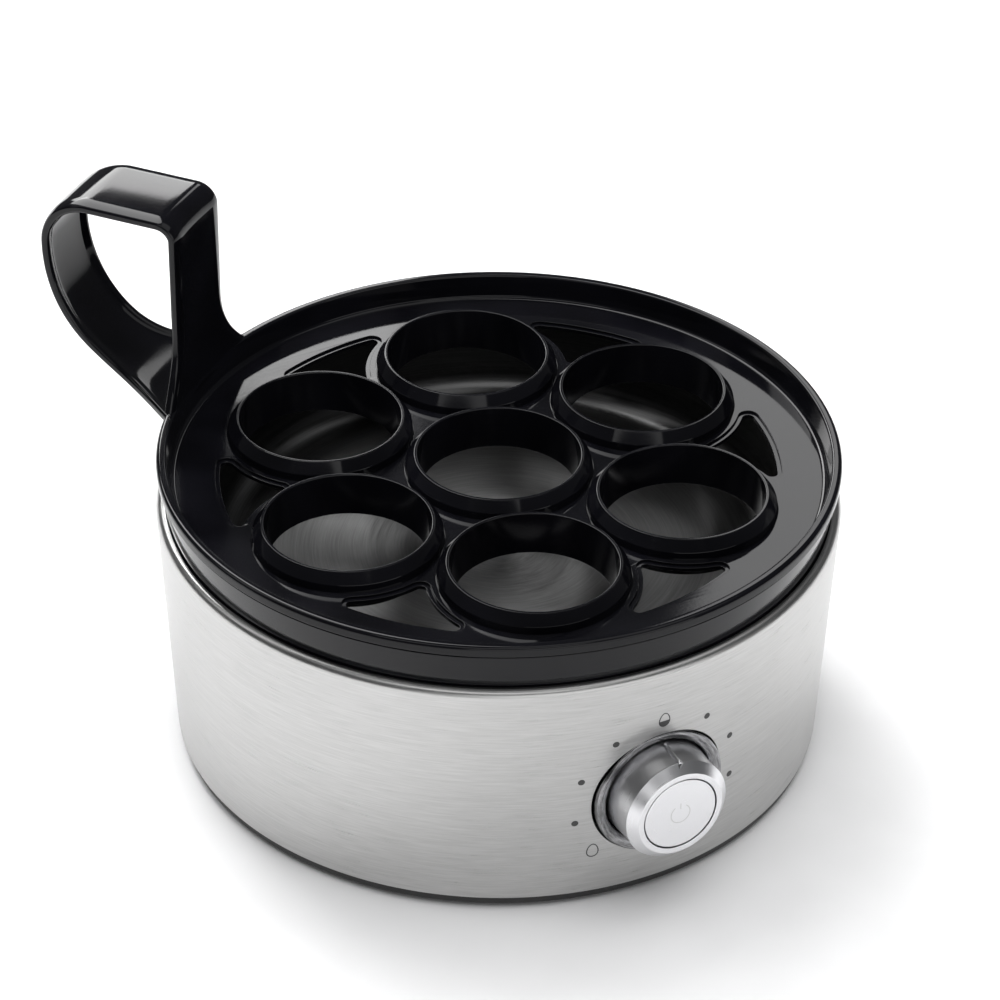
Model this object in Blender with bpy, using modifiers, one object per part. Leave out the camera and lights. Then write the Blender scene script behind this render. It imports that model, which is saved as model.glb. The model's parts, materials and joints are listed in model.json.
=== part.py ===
"""An egg cooker for seven eggs, as an assembly of separate pieces.

Metres, +Z up. The origin is on the body's axis, at the surface the feet stand on.
The control knob faces -Y. Bearings are degrees from -Y towards +X, seen from above.
"""

import math

import bmesh
import bpy
from mathutils import Matrix, Vector

# ---------------------------------------------------------------- driving sizes

# Clearances between neighbouring pieces.
SEAM = 0.0003  # between faces that touch on the real object
FIT = 0.0004  # round a piece that drops into another
OVER = 0.0010  # how far a cutter passes the face it cuts

# Body: a tapered steel wall between a black base and a black band.
RIM_RADIUS = 0.0850  # crest of the tray's lip, which is the top of the body
FOOT_PROUD = 0.0012
BASE_RING_HEIGHT = 0.0023
WALL_HEIGHT = 0.0627
WALL_TAPER = math.radians(2.95)
WALL_SHEET = 0.0007
SHOULDER_RADIUS = 0.0022  # roll at the top of the steel wall
SHOULDER_BULGE = 0.00145  # how far the steel stands out past the rim's crest
BASE_SHEET = 0.0020
BASE_INSET = 0.0007  # base ring, inside the foot of the steel wall
BASE_LIP_HEIGHT = 0.0055  # upstand that locates the steel wall
BASE_LIP_SHEET = 0.0022
BOSS_WALL = 0.0013  # round the head of a base screw

# Band: the top frame of the body, which carries the heating dish and the tray.
BAND_SHOWN = 0.0096
BAND_DRAFT = 0.0017  # how much wider the band is at the top
BAND_WALL = 0.0013
BAND_SKIRT_DEPTH = 0.0085
LEDGE_BELOW_TOP = 0.0086
LEDGE_SHEET = 0.0026
LEDGE_WIDTH = 0.0069

# Heating dish and what hangs below it.
DISH_SHEET = 0.0008
DISH_DEPTH = 0.0208
DISH_CORNER = 0.0085
GASKET_SHEET = 0.0008
SPREADER_RADIUS = 0.0500
SPREADER_SHEET = 0.0030
ELEMENT_RING_RADIUS = 0.0380
ELEMENT_RADIUS = 0.00325
ELEMENT_GAP = math.radians(30)  # open part of the ring, at the back
ELEMENT_DROP = 0.0095  # how far the two cold ends bend down
THERMOSTAT_RADIUS = 0.0090
THERMOSTAT_HEIGHT = 0.0085
CLIP_SHEET = 0.0008
CLIP_WIDTH = 0.0070
FUSE_RADIUS = 0.0025
FUSE_LENGTH = 0.0160
FUSE_OFFSET = 0.0220

# Heat shield, on posts that stand on the base.
SHIELD_RADIUS = 0.0480
SHIELD_SHEET = 0.0006
SHIELD_RIM = 0.0040
SHIELD_CORNER = 0.0010
SHIELD_POST_HEIGHT = 0.0250
SHIELD_POST_RADIUS = 0.0035

# Tray: seven egg cups and six steam vents in a shallow pan with a rolled lip.
LIP_HEIGHT = 0.0028
LIP_REACH = 0.0010  # lip's outer wall, outside the crest
LIP_WIDTH = 0.0025
LIP_CROWN = 0.0008  # rounding along the crest
TRAY_DEPTH = 0.0065
TRAY_SHEET = 0.0016
TRAY_CORNER = 0.0028
CUP_RADIUS = 0.0206
CUP_COLLAR = 0.0034  # how far a cup's collar spreads at the floor
CUP_GAP = 0.00043  # between neighbouring collars
CUP_RISE = 0.0045
CUP_SKIRT = 0.0050
CUP_WALL = 0.0013
CUP_TAPER = 0.0010
CUP_BEARING = -17.5
VENT_MARGIN = 0.0024  # strip of floor between a vent and a cup's collar
VENT_EDGE = 0.0105  # strip of floor between a vent and the tray's corner
VENT_RIB = 0.0080  # least width of floor between two vents

# Handle: a loop of wide strap moulded to the lip.
HANDLE_BEARING = -141.0
HANDLE_RISE = 0.0504  # above the rim
HANDLE_REACH = 0.0384  # outside the rim's crest
HANDLE_WIDTH = 0.0242
HANDLE_END_WIDTH = 0.0216
HANDLE_SHEET = 0.0022
HANDLE_INNER_CORNER = 0.0045
HANDLE_OUTER_CORNER = 0.0140
POST_FLARE = 0.0090  # extra half width at the post's foot
POST_FLARE_HEIGHT = 0.0170
RETURN_FLARE = 0.0115  # extra half width where the returning end meets the lip
RETURN_FLARE_REACH = 0.0250  # how far out from the lip it still flares
RETURN_DROP = 0.60  # share of its height over which the return falls straight
RETURN_SWEEP = 0.60  # share of its reach over which the return runs level
HANDLE_INSET = 0.0002  # how far the post leans into the pan

# Control knob, its axis horizontal and at right angles to the wall.
KNOB_HEIGHT = 0.0312
KNOB_RADIUS = 0.0138
KNOB_BARREL_INSET = 0.0003
KNOB_FACE_RADIUS = 0.0115
KNOB_WALL = 0.0013
KNOB_PROUD = 0.0104  # front face, outside the steel wall
KNOB_COLLAR_DEPTH = 0.0024
KNOB_BARREL_DEPTH = 0.0195
POINTER_ANGLE = math.radians(3.0)  # clockwise from the top, seen from the front
POINTER_WIDTH = 0.0014
POINTER_OVERLAP = 0.0002  # how far the rib runs into the knob's ridge
BEZEL_WIDTH = 0.0026
BEZEL_GAP = 0.0012  # between the knob's barrel and the bezel
BEZEL_PROUD = 0.0004
BEZEL_EDGE = 0.0004
BEZEL_DEPTH = 0.0026  # from the crest to the foot of the dished face
BEZEL_LIP = (0.0006, 0.0010)  # width and rise of the face's inner edge
BEZEL_CREST = 0.0010
RECESS_SHEET = 0.0016
RECESS_DEPTH = 0.0110
BUTTON_RADIUS = 0.00975
BUTTON_RECESS = 0.0001
BUTTON_SHEET = 0.0020
BUTTON_EDGE = 0.0003
BUTTON_CONE = 0.0012  # height of the cone between the button and its stem
BUTTON_WELL = 0.0045  # room behind the button for its spring
BUTTON_TRAVEL = 0.0012
STEM_RADIUS = 0.0015
PLUNGER_LENGTH = 0.0024
SHAFT_RADIUS = 0.00305
SHAFT_WALL = 0.00115
HUB_WALL = 0.0018
SENSOR_RADIUS = 0.0085
SENSOR_DEPTH = 0.0080
BUSH_WALL = 0.0009
BUSH_REACH = 0.0030  # how far the bush stands into the recess
NUT_WALL = 0.0020
NUT_HEIGHT = 0.0020
PEG_RADIUS = 0.0026
PEG_FROM_EDGE = 0.0030
PEG_BORE = 0.0070
PEG_SCREW_REACH = 0.0060
BOARD_SHEET = 0.0016
BOARD_WIDTH = 0.0500
BOARD_HEIGHT = 0.0370
BOARD_DROP = 0.0015  # middle of the board, below the knob's axis
SWITCH_SIZE = 0.0080
RELAY_SIZE = (0.0190, 0.0150, 0.0120)
RELAY_PLACE = (-0.0130, 0.0070)  # from the board's middle, and up from its foot
CAPACITOR_SIZE = (0.0130, 0.0060, 0.0110)
CAPACITOR_PLACE = (0.0100, 0.0065)
BUZZER_RADIUS = 0.0050
BUZZER_HEIGHT = 0.0070
BUZZER_PLACE = (0.0160, 0.0100)  # from the knob's axis
SPRING_WIRE = 0.00035
SPRING_COIL_RADIUS = 0.0045
SPRING_TURNS = 4

# Fasteners, feet and the mains entry.
PILLAR_RADIUS = 0.0027
PILLAR_BEARINGS = (-125.0, -55.0, 55.0, 125.0)
SCREW_RADIUS = 0.0011
SCREW_HEAD_RADIUS = 0.0023
SCREW_HEAD = 0.0014
SCREW_REACH = 0.0080
FOOT_BEARINGS = (-138.0, -42.0, 42.0, 138.0)
FOOT_RADIUS = 0.0065
FOOT_POCKET = 0.0010
FOOT_FROM_EDGE = 0.0135
GLAND_HEIGHT = 0.0175
GLAND_RADIUS = 0.0048
GLAND_BORE_RADIUS = 0.0033
GLAND_HEAD = 0.0016  # reach and thickness of the collar against the wall
GLAND_NOSE = 0.0060  # outside the wall
GLAND_TAIL = 0.0040  # inside it
GLAND_GRIP = 0.0012  # from the flat nut to the curved wall
GLAND_EDGE = 0.0006
TERMINAL_SIZE = (0.0260, 0.0120, 0.0100)
TERMINAL_GAP = 0.0140
WIRE_RADIUS = 0.0010
WIRE_ROUTE = ((0.0060, 0.0), (0.0060, 0.0100), (0.0150, 0.0350), (0.0150, 0.0700))
WIRE_END = 0.0120  # straight run into the relay
RELAY_PINS = 0.0050  # half the distance between the relay's pins

ROUND = 48  # steps round the body
MIDDLE = 36  # steps round the knob, the bezel and the heater
SMALL = 24  # steps round the cups and the feet
TINY = 12  # steps round a screw

# ---------------------------------------------------------------- sizes that follow

# Heights of the body's seams, from the ground up.
base_top = FOOT_PROUD + BASE_RING_HEIGHT
wall_foot = base_top + SEAM
wall_top = wall_foot + WALL_HEIGHT
shoulder_top = wall_top + SHOULDER_RADIUS
band_top = shoulder_top + BAND_SHOWN
lip_foot = band_top + SEAM
rim_top = lip_foot + LIP_HEIGHT
tray_floor = rim_top - TRAY_DEPTH
tray_under = tray_floor - TRAY_SHEET
ledge_top = band_top - LEDGE_BELOW_TOP

# Radii of the wall, the band and the lip.
wall_top_radius = RIM_RADIUS + SHOULDER_BULGE
wall_foot_radius = wall_top_radius - WALL_HEIGHT * math.tan(WALL_TAPER)
mouth_radius = wall_top_radius - SHOULDER_RADIUS
lip_radius = RIM_RADIUS + LIP_REACH
band_radius = lip_radius - FIT
band_foot_radius = band_radius - BAND_DRAFT
band_bore = band_radius - BAND_WALL
skirt_radius = mouth_radius - 1.2 * FIT
ledge_outer = band_foot_radius - 1.25 * BAND_WALL
ledge_inner = ledge_outer - LEDGE_WIDTH
dish_radius = ledge_inner - FIT
pillar_circle = dish_radius + FIT + PILLAR_RADIUS
base_radius = wall_foot_radius - BASE_INSET
base_lip_radius = wall_foot_radius - WALL_SHEET - FIT

# Heights of what hangs below the dish.
flange_under = ledge_top + SEAM + GASKET_SHEET + SEAM
dish_floor = flange_under + DISH_SHEET - DISH_DEPTH
dish_under = dish_floor - DISH_SHEET
spreader_top = dish_under - SEAM
spreader_under = spreader_top - SPREADER_SHEET
element_height = spreader_under - SEAM - ELEMENT_RADIUS
thermostat_top = spreader_under - SEAM
thermostat_under = thermostat_top - THERMOSTAT_HEIGHT
clip_top = thermostat_under - SEAM
base_floor = FOOT_PROUD + BASE_SHEET
shield_under = base_floor + SHIELD_POST_HEIGHT + SEAM
pillar_foot = base_floor + BASE_LIP_HEIGHT + SEAM

# The cups' ring, and the tray's pan.
cup_pitch = 2 * (CUP_RADIUS + CUP_COLLAR) + CUP_GAP
pan_radius = lip_radius - LIP_WIDTH
pan_outer = band_bore - FIT
pan_foot_radius = pan_outer - BAND_DRAFT
vent_outer_radius = pan_radius - TRAY_CORNER - VENT_EDGE

# Places along the knob's axis, as distances from the body's axis.
wall_at_knob = wall_foot_radius + (KNOB_HEIGHT - wall_foot) * math.tan(WALL_TAPER)
knob_front = wall_at_knob + KNOB_PROUD
knob_ridge = knob_front - KNOB_COLLAR_DEPTH
barrel_radius = KNOB_RADIUS - KNOB_BARREL_INSET
barrel_back = knob_front - KNOB_BARREL_DEPTH
bezel_inner = barrel_radius + BEZEL_GAP
bezel_outer = bezel_inner + BEZEL_WIDTH
recess_bore = barrel_radius + 2 * FIT
flange_radius = bezel_outer + BEZEL_WIDTH
wall_inside = math.sqrt((wall_at_knob - WALL_SHEET) ** 2 - flange_radius**2)
flange_front = wall_inside - flange_radius * math.tan(WALL_TAPER) - FIT
recess_back = flange_front - RECESS_DEPTH
button_front = knob_front - BUTTON_RECESS
button_back = button_front - BUTTON_SHEET
web_front = button_back - BUTTON_WELL
web_back = web_front - KNOB_WALL
hub_radius = SHAFT_RADIUS + SEAM + HUB_WALL
sensor_front = recess_back - RECESS_SHEET - SEAM
sensor_back = sensor_front - SENSOR_DEPTH
bush_radius = SHAFT_RADIUS + SEAM + BUSH_WALL
board_front = sensor_back - SEAM
board_back = board_front - BOARD_SHEET
peg_offset = flange_radius - PEG_FROM_EDGE

# ---------------------------------------------------------------- modelling helpers

FINISHES = {
    "brushed_steel": ((0.62, 0.62, 0.61), 0.32, 1.0),
    "gloss_black": ((0.012, 0.012, 0.014), 0.12, 0.0),
    "satin_black": ((0.02, 0.02, 0.021), 0.45, 0.0),
    "satin_metal": ((0.66, 0.67, 0.68), 0.28, 1.0),
    "chrome": ((0.80, 0.81, 0.83), 0.08, 1.0),
    "rubber": ((0.03, 0.03, 0.03), 0.85, 0.0),
    "silicone": ((0.55, 0.20, 0.14), 0.65, 0.0),
    "aluminium": ((0.72, 0.73, 0.74), 0.38, 1.0),
    "circuit_board": ((0.03, 0.20, 0.09), 0.50, 0.0),
    "grey_plastic": ((0.30, 0.31, 0.32), 0.50, 0.0),
    "blue_plastic": ((0.05, 0.16, 0.42), 0.42, 0.0),
    "ceramic": ((0.82, 0.80, 0.74), 0.60, 0.0),
    "brown_wire": ((0.20, 0.08, 0.03), 0.45, 0.0),
    "blue_wire": ((0.03, 0.11, 0.40), 0.45, 0.0),
}


def start_scene():
    """An empty scene with one collection for the pieces and one for the cutters."""
    for old in list(bpy.data.objects):
        bpy.data.objects.remove(old, do_unlink=True)
    pieces = bpy.data.collections.new("egg_cooker")
    tools = bpy.data.collections.new("cutters")
    bpy.context.scene.collection.children.link(pieces)
    bpy.context.scene.collection.children.link(tools)
    return pieces, tools


PIECES, TOOLS = start_scene()


def painted(piece, finish):
    """The piece, with its own Principled material."""
    colour, roughness, metallic = FINISHES[finish]
    material = bpy.data.materials.new(piece.name + "_" + finish)
    material.use_nodes = True
    shader = material.node_tree.nodes["Principled BSDF"]
    shader.inputs["Base Color"].default_value = (*colour, 1.0)
    shader.inputs["Roughness"].default_value = roughness
    shader.inputs["Metallic"].default_value = metallic
    piece.data.materials.append(material)
    return piece


def placed(name, data, finish, location=(0.0, 0.0, 0.0), rotation=(0.0, 0.0, 0.0)):
    """A new object: a piece if it has a finish, and otherwise a tool that only cuts or joins."""
    thing = bpy.data.objects.new(name, data)
    thing.location = location
    thing.rotation_euler = rotation
    if finish:
        PIECES.objects.link(thing)
        return painted(thing, finish)
    TOOLS.objects.link(thing)
    thing.hide_render = True
    thing.display_type = "WIRE"
    return thing


def at_bearing(bearing, radius, height):
    """The point at this bearing and distance from the body's axis."""
    angle = math.radians(bearing)
    return Vector((radius * math.sin(angle), -radius * math.cos(angle), height))


def arc(centre, radius, start, stop, count):
    """Points of an arc in (radius, height); angles in degrees, 0 outwards and 90 up."""
    angles = [math.radians(start + (stop - start) * i / (count - 1)) for i in range(count)]
    return [(centre[0] + radius * math.cos(a), centre[1] + radius * math.sin(a)) for a in angles]


def turned(name, outline, finish, steps=SMALL, location=(0.0, 0.0, 0.0), rotation=(0.0, 0.0, 0.0)):
    """A piece turned about its Z axis. The outline's points, (radius, height), run clockwise.

    An outline that starts and ends on the axis stays open, and any other is closed.
    """
    closed = outline[0][0] > 0 or outline[-1][0] > 0
    edges = [(i, i + 1) for i in range(len(outline) - 1)]
    if closed:
        edges.append((len(outline) - 1, 0))
    mesh = bpy.data.meshes.new(name)
    mesh.from_pydata([(radius, 0.0, height) for radius, height in outline], edges, [])
    piece = placed(name, mesh, finish, location, rotation)
    screw = piece.modifiers.new("Turn", "SCREW")
    screw.steps = steps
    screw.render_steps = steps
    screw.use_merge_vertices = True
    screw.merge_threshold = 0.00001
    return piece


def disc(name, radius, bottom, top, finish, steps=SMALL, **place):
    """A solid cylinder between two heights."""
    outline = [(0.0, top), (radius, top), (radius, bottom), (0.0, bottom)]
    return turned(name, outline, finish, steps, **place)


def ring(name, inner, outer, bottom, top, finish, steps=SMALL, **place):
    """A plain ring between two heights."""
    outline = [(outer, top), (outer, bottom), (inner, bottom), (inner, top)]
    return turned(name, outline, finish, steps, **place)


def hex_nut(name, thread_radius, wall, bottom, top, finish, **place):
    """A six-sided nut whose flats stay clear of the thread."""
    inner = (thread_radius + SEAM) / math.cos(math.radians(30))
    return ring(name, inner, inner + wall, bottom, top, finish, 6, **place)


def block(name, size, centre, finish, bevel=0.0):
    """A box with its corners bevelled."""
    form = bmesh.new()
    bmesh.ops.create_cube(form, size=1.0, matrix=Matrix.Diagonal((*size, 1.0)))
    mesh = bpy.data.meshes.new(name)
    form.to_mesh(mesh)
    form.free()
    piece = placed(name, mesh, finish, location=centre)
    if bevel:
        edge = piece.modifiers.new("Edges", "BEVEL")
        edge.width = bevel
        edge.segments = 1
    return piece


def boolean(piece, tool, operation, crosses_itself=False):
    """Cuts a tool from the piece, or joins it on."""
    step = piece.modifiers.new(operation.title() + " " + tool.name, "BOOLEAN")
    step.operation = operation
    step.object = tool
    step.use_self = crosses_itself


def wire(name, points, radius, finish, sides=2, location=(0.0, 0.0, 0.0), rotation=(0.0, 0.0, 0.0)):
    """A round wire or rod along a list of points."""
    curve = bpy.data.curves.new(name, "CURVE")
    curve.dimensions = "3D"
    curve.bevel_depth = radius
    curve.bevel_resolution = sides
    curve.use_fill_caps = True
    line = curve.splines.new("POLY")
    line.points.add(len(points) - 1)
    for spot, point in zip(line.points, points):
        spot.co = (*point, 1.0)
    return placed(name, curve, finish, location, rotation)


# The knob's own frame: its Z runs outwards along the knob's axis, and its Y is up.
knob_frame = {"location": (0.0, 0.0, KNOB_HEIGHT), "rotation": (math.radians(90), 0.0, 0.0)}

# ---------------------------------------------------------------- the body


def make_housing():
    """The tapered steel wall, rolled in at the top, with holes for the knob and the mains lead."""
    roll = (mouth_radius, wall_top)
    outline = (
        arc(roll, SHOULDER_RADIUS, 90, 0, 5)
        + [(wall_foot_radius, wall_foot), (wall_foot_radius - WALL_SHEET, wall_foot)]
        + arc(roll, SHOULDER_RADIUS - WALL_SHEET, 0, 90, 4)
    )
    wall = turned("housing_shell", outline, "brushed_steel", ROUND)
    hole = disc(
        "knob_hole", bezel_outer + FIT, flange_front - OVER, knob_front, None, SMALL, **knob_frame
    )
    boolean(wall, hole, "DIFFERENCE")
    lead_hole = disc(
        "lead_hole",
        GLAND_RADIUS + FIT,
        base_lip_radius - 3 * OVER,
        wall_top_radius,
        None,
        TINY,
        location=(0.0, 0.0, GLAND_HEIGHT),
        rotation=(math.radians(-90), 0.0, 0.0),
    )
    boolean(wall, lead_hole, "DIFFERENCE")


def make_base():
    """The black base: a flat plate whose edge shows as a ring, with bosses, posts and pockets."""
    lip_inner = base_lip_radius - BASE_LIP_SHEET
    lip_top = base_floor + BASE_LIP_HEIGHT
    outline = [
        (0.0, base_floor),
        (lip_inner, base_floor),
        (lip_inner, lip_top),
        (base_lip_radius, lip_top),
        (base_lip_radius, base_top),
        (base_radius, base_top),
        (base_radius, FOOT_PROUD),
        (0.0, FOOT_PROUD),
    ]
    plate = turned("base_plate", outline, "satin_black", ROUND)
    for number, bearing in enumerate(PILLAR_BEARINGS, 1):
        spot = at_bearing(bearing, pillar_circle, 0.0)
        boss = disc(
            f"base_boss_{number}",
            SCREW_HEAD_RADIUS + BOSS_WALL,
            base_floor - BASE_SHEET / 2,
            lip_top - SEAM,
            None,
            TINY,
            location=spot,
        )
        boolean(plate, boss, "UNION")
        head_room = base_floor + SCREW_HEAD
        outline = [
            (0.0, lip_top + OVER),
            (SCREW_RADIUS + FIT, lip_top + OVER),
            (SCREW_RADIUS + FIT, head_room),
            (SCREW_HEAD_RADIUS + FIT, head_room),
            (SCREW_HEAD_RADIUS + FIT, 0.0),
            (0.0, 0.0),
        ]
        hole = turned(f"base_hole_{number}", outline, None, TINY, location=spot)
        boolean(plate, hole, "DIFFERENCE")
    for number, bearing in enumerate((-120.0, 0.0, 120.0), 1):
        spot = at_bearing(bearing, SHIELD_RADIUS - 2 * SHIELD_POST_RADIUS, 0.0)
        post = disc(
            f"shield_post_{number}",
            SHIELD_POST_RADIUS,
            base_floor - BASE_SHEET / 2,
            shield_under - SEAM,
            None,
            TINY,
            location=spot,
        )
        boolean(plate, post, "UNION")
    for number, bearing in enumerate(FOOT_BEARINGS, 1):
        spot = at_bearing(bearing, base_radius - FOOT_FROM_EDGE, 0.0)
        pocket = disc(
            f"foot_pocket_{number}",
            FOOT_RADIUS + FIT,
            0.0,
            FOOT_PROUD + FOOT_POCKET,
            None,
            SMALL,
            location=spot,
        )
        boolean(plate, pocket, "DIFFERENCE")
        foot_top = FOOT_PROUD + FOOT_POCKET - SEAM
        rounding = FOOT_PROUD / 3
        outline = [
            (0.0, foot_top),
            (FOOT_RADIUS, foot_top),
            (FOOT_RADIUS, rounding),
            (FOOT_RADIUS - rounding, 0.0),
            (0.0, 0.0),
        ]
        turned(f"foot_{number}", outline, "rubber", SMALL, location=spot)


def make_band():
    """The black band: a wall and a skirt, a ledge for the dish, and four screw pillars."""
    step_height = tray_under - SEAM
    outline = [
        (band_radius, band_top),
        (band_foot_radius, shoulder_top + SEAM),
        (skirt_radius, shoulder_top - SHOULDER_RADIUS / 4),
        (skirt_radius, ledge_top - BAND_SKIRT_DEPTH),
        (skirt_radius - 1.4 * BAND_WALL, ledge_top - BAND_SKIRT_DEPTH),
        (skirt_radius - 1.4 * BAND_WALL, ledge_top - LEDGE_SHEET),
        (ledge_inner, ledge_top - LEDGE_SHEET),
        (ledge_inner, ledge_top),
        (ledge_outer, ledge_top),
        (ledge_outer, step_height),
        (pan_foot_radius + FIT, step_height + SEAM),
        (band_bore, band_top),
    ]
    band = turned("collar_ring", outline, "gloss_black", ROUND)
    for number, bearing in enumerate(PILLAR_BEARINGS, 1):
        spot = at_bearing(bearing, pillar_circle, 0.0)
        pillar = disc(
            f"pillar_{number}",
            PILLAR_RADIUS,
            pillar_foot,
            ledge_top - LEDGE_SHEET / 2,
            None,
            TINY,
            location=spot,
        )
        boolean(band, pillar, "UNION")
        bore = disc(
            f"pillar_bore_{number}",
            SCREW_RADIUS + SEAM,
            pillar_foot - OVER,
            pillar_foot + SCREW_REACH + FIT,
            None,
            TINY,
            location=spot,
        )
        boolean(band, bore, "DIFFERENCE")
        head_top = base_floor + SCREW_HEAD - SEAM
        outline = [
            (0.0, pillar_foot + SCREW_REACH),
            (SCREW_RADIUS, pillar_foot + SCREW_REACH),
            (SCREW_RADIUS, head_top),
            (SCREW_HEAD_RADIUS, head_top),
            (SCREW_HEAD_RADIUS, head_top - SCREW_HEAD),
            (0.0, head_top - SCREW_HEAD),
        ]
        turned(f"base_screw_{number}", outline, "satin_metal", TINY, location=spot)


# ---------------------------------------------------------------- the heating group


def make_dish():
    """The steel water dish, on a silicone gasket on the band's ledge."""
    flange_radius_out = ledge_outer - FIT
    top = flange_under + DISH_SHEET
    inner = dish_radius - DISH_SHEET
    corner = (inner - DISH_CORNER, dish_floor + DISH_CORNER)
    outline = (
        [(0.0, dish_floor)]
        + arc(corner, DISH_CORNER, -90, 0, 5)
        + [(inner, top), (flange_radius_out, top), (flange_radius_out, flange_under)]
        + [(dish_radius, flange_under)]
        + arc(corner, DISH_CORNER + DISH_SHEET, 0, -90, 4)
        + [(0.0, dish_under)]
    )
    turned("heating_dish", outline, "brushed_steel", ROUND)
    gasket_foot = ledge_top + SEAM
    ring(
        "dish_gasket",
        ledge_inner + FIT,
        flange_radius_out,
        gasket_foot,
        gasket_foot + GASKET_SHEET,
        "silicone",
        ROUND,
    )


def make_heater():
    """The plate, ring element, thermostat with its clip, and thermal fuse under the dish."""
    disc("heat_spreader", SPREADER_RADIUS, spreader_under, spreader_top, "aluminium", MIDDLE)

    half_gap = ELEMENT_GAP / 2
    count = 30
    points = []
    for i in range(count + 1):
        angle = math.pi / 2 + half_gap + (2 * math.pi - ELEMENT_GAP) * i / count
        x = ELEMENT_RING_RADIUS * math.cos(angle)
        y = ELEMENT_RING_RADIUS * math.sin(angle)
        points.append(Vector((x, y, element_height)))
    for end, place in ((points[0], 0), (points[-1], len(points) + 1)):
        towards_back = Vector((0.0, 0.6 * ELEMENT_DROP, -0.4 * ELEMENT_DROP))
        knee = end + towards_back
        foot = knee + Vector((0.0, 0.1 * ELEMENT_DROP, -0.6 * ELEMENT_DROP))
        if place == 0:
            points = [foot, knee] + points
        else:
            points = points + [knee, foot]
    wire("heating_element", points, ELEMENT_RADIUS, "satin_metal", 2)

    disc("thermostat", THERMOSTAT_RADIUS, thermostat_under, thermostat_top, "ceramic")
    leg_inner = THERMOSTAT_RADIUS + FIT
    clip = block(
        "thermostat_clip",
        (2 * (leg_inner + CLIP_SHEET), CLIP_WIDTH, CLIP_SHEET),
        (0.0, 0.0, clip_top - CLIP_SHEET / 2),
        "satin_metal",
    )
    leg_top = spreader_under - SEAM
    leg_foot = clip_top - CLIP_SHEET
    for side in (-1, 1):
        leg = block(
            f"clip_leg_{side}",
            (CLIP_SHEET, CLIP_WIDTH, leg_top - leg_foot),
            (side * (leg_inner + CLIP_SHEET / 2), 0.0, (leg_top + leg_foot) / 2),
            None,
        )
        boolean(clip, leg, "UNION")
    disc(
        "thermal_fuse",
        FUSE_RADIUS,
        -FUSE_LENGTH / 2,
        FUSE_LENGTH / 2,
        "ceramic",
        TINY,
        location=(0.0, FUSE_OFFSET, spreader_under - SEAM - FUSE_RADIUS),
        rotation=(0.0, math.radians(90), 0.0),
    )


def make_shield():
    """The steel pan between the heater and the electronics."""
    top = shield_under + SHIELD_SHEET
    inner = SHIELD_RADIUS - SHIELD_SHEET
    outline = [
        (0.0, top),
        (inner - SHIELD_CORNER, top),
        (SHIELD_RADIUS, top - SHIELD_CORNER),
        (SHIELD_RADIUS, top - SHIELD_RIM),
        (inner, top - SHIELD_RIM),
        (inner, shield_under - SHIELD_CORNER),
        (inner - SHIELD_CORNER, shield_under),
        (0.0, shield_under),
    ]
    turned("heat_shield", outline, "aluminium", MIDDLE)


# ---------------------------------------------------------------- the knob and its works


def make_dial_seat():
    """The chrome bezel in the wall, and the black recess behind it that carries the board."""
    dish_back = flange_front + SEAM
    bezel_front = wall_at_knob + BEZEL_PROUD
    outline = [
        (bezel_outer - BEZEL_EDGE, bezel_front),
        (bezel_outer, bezel_front - BEZEL_EDGE),
        (bezel_outer, dish_back),
        (bezel_inner, dish_back),
        (bezel_inner, bezel_front - BEZEL_DEPTH),
        (bezel_inner + BEZEL_LIP[0], bezel_front - BEZEL_DEPTH + BEZEL_LIP[1]),
        (bezel_outer - BEZEL_CREST, bezel_front),
    ]
    turned("dial_bezel", outline, "chrome", MIDDLE, **knob_frame)

    tube = recess_bore + RECESS_SHEET
    outline = [
        (flange_radius, flange_front),
        (flange_radius, flange_front - RECESS_SHEET),
        (tube, flange_front - RECESS_SHEET),
        (tube, recess_back - RECESS_SHEET),
        (bush_radius + FIT, recess_back - RECESS_SHEET),
        (bush_radius + FIT, recess_back),
        (recess_bore, recess_back),
        (recess_bore, flange_front),
    ]
    seat = turned("dial_recess", outline, "satin_black", SMALL, **knob_frame)
    for side, word in ((-1, "left"), (1, "right")):
        spot = (side * peg_offset, 0.0, KNOB_HEIGHT)
        place = {"location": spot, "rotation": knob_frame["rotation"]}
        peg_top = flange_front - RECESS_SHEET / 2
        peg = disc(f"board_peg_{word}", PEG_RADIUS, board_front + SEAM, peg_top, None, TINY, **place)
        boolean(seat, peg, "UNION")
        bore = disc(
            f"peg_bore_{word}",
            SCREW_RADIUS + SEAM,
            board_front - OVER,
            board_front + PEG_BORE,
            None,
            TINY,
            **place,
        )
        boolean(seat, bore, "DIFFERENCE")
        outline = [
            (0.0, board_front + PEG_SCREW_REACH),
            (SCREW_RADIUS, board_front + PEG_SCREW_REACH),
            (SCREW_RADIUS, board_back - SEAM),
            (SCREW_HEAD_RADIUS, board_back - SEAM),
            (SCREW_HEAD_RADIUS, board_back - SEAM - SCREW_HEAD),
            (0.0, board_back - SEAM - SCREW_HEAD),
        ]
        turned(f"board_screw_{word}", outline, "satin_metal", TINY, **place)


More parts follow.
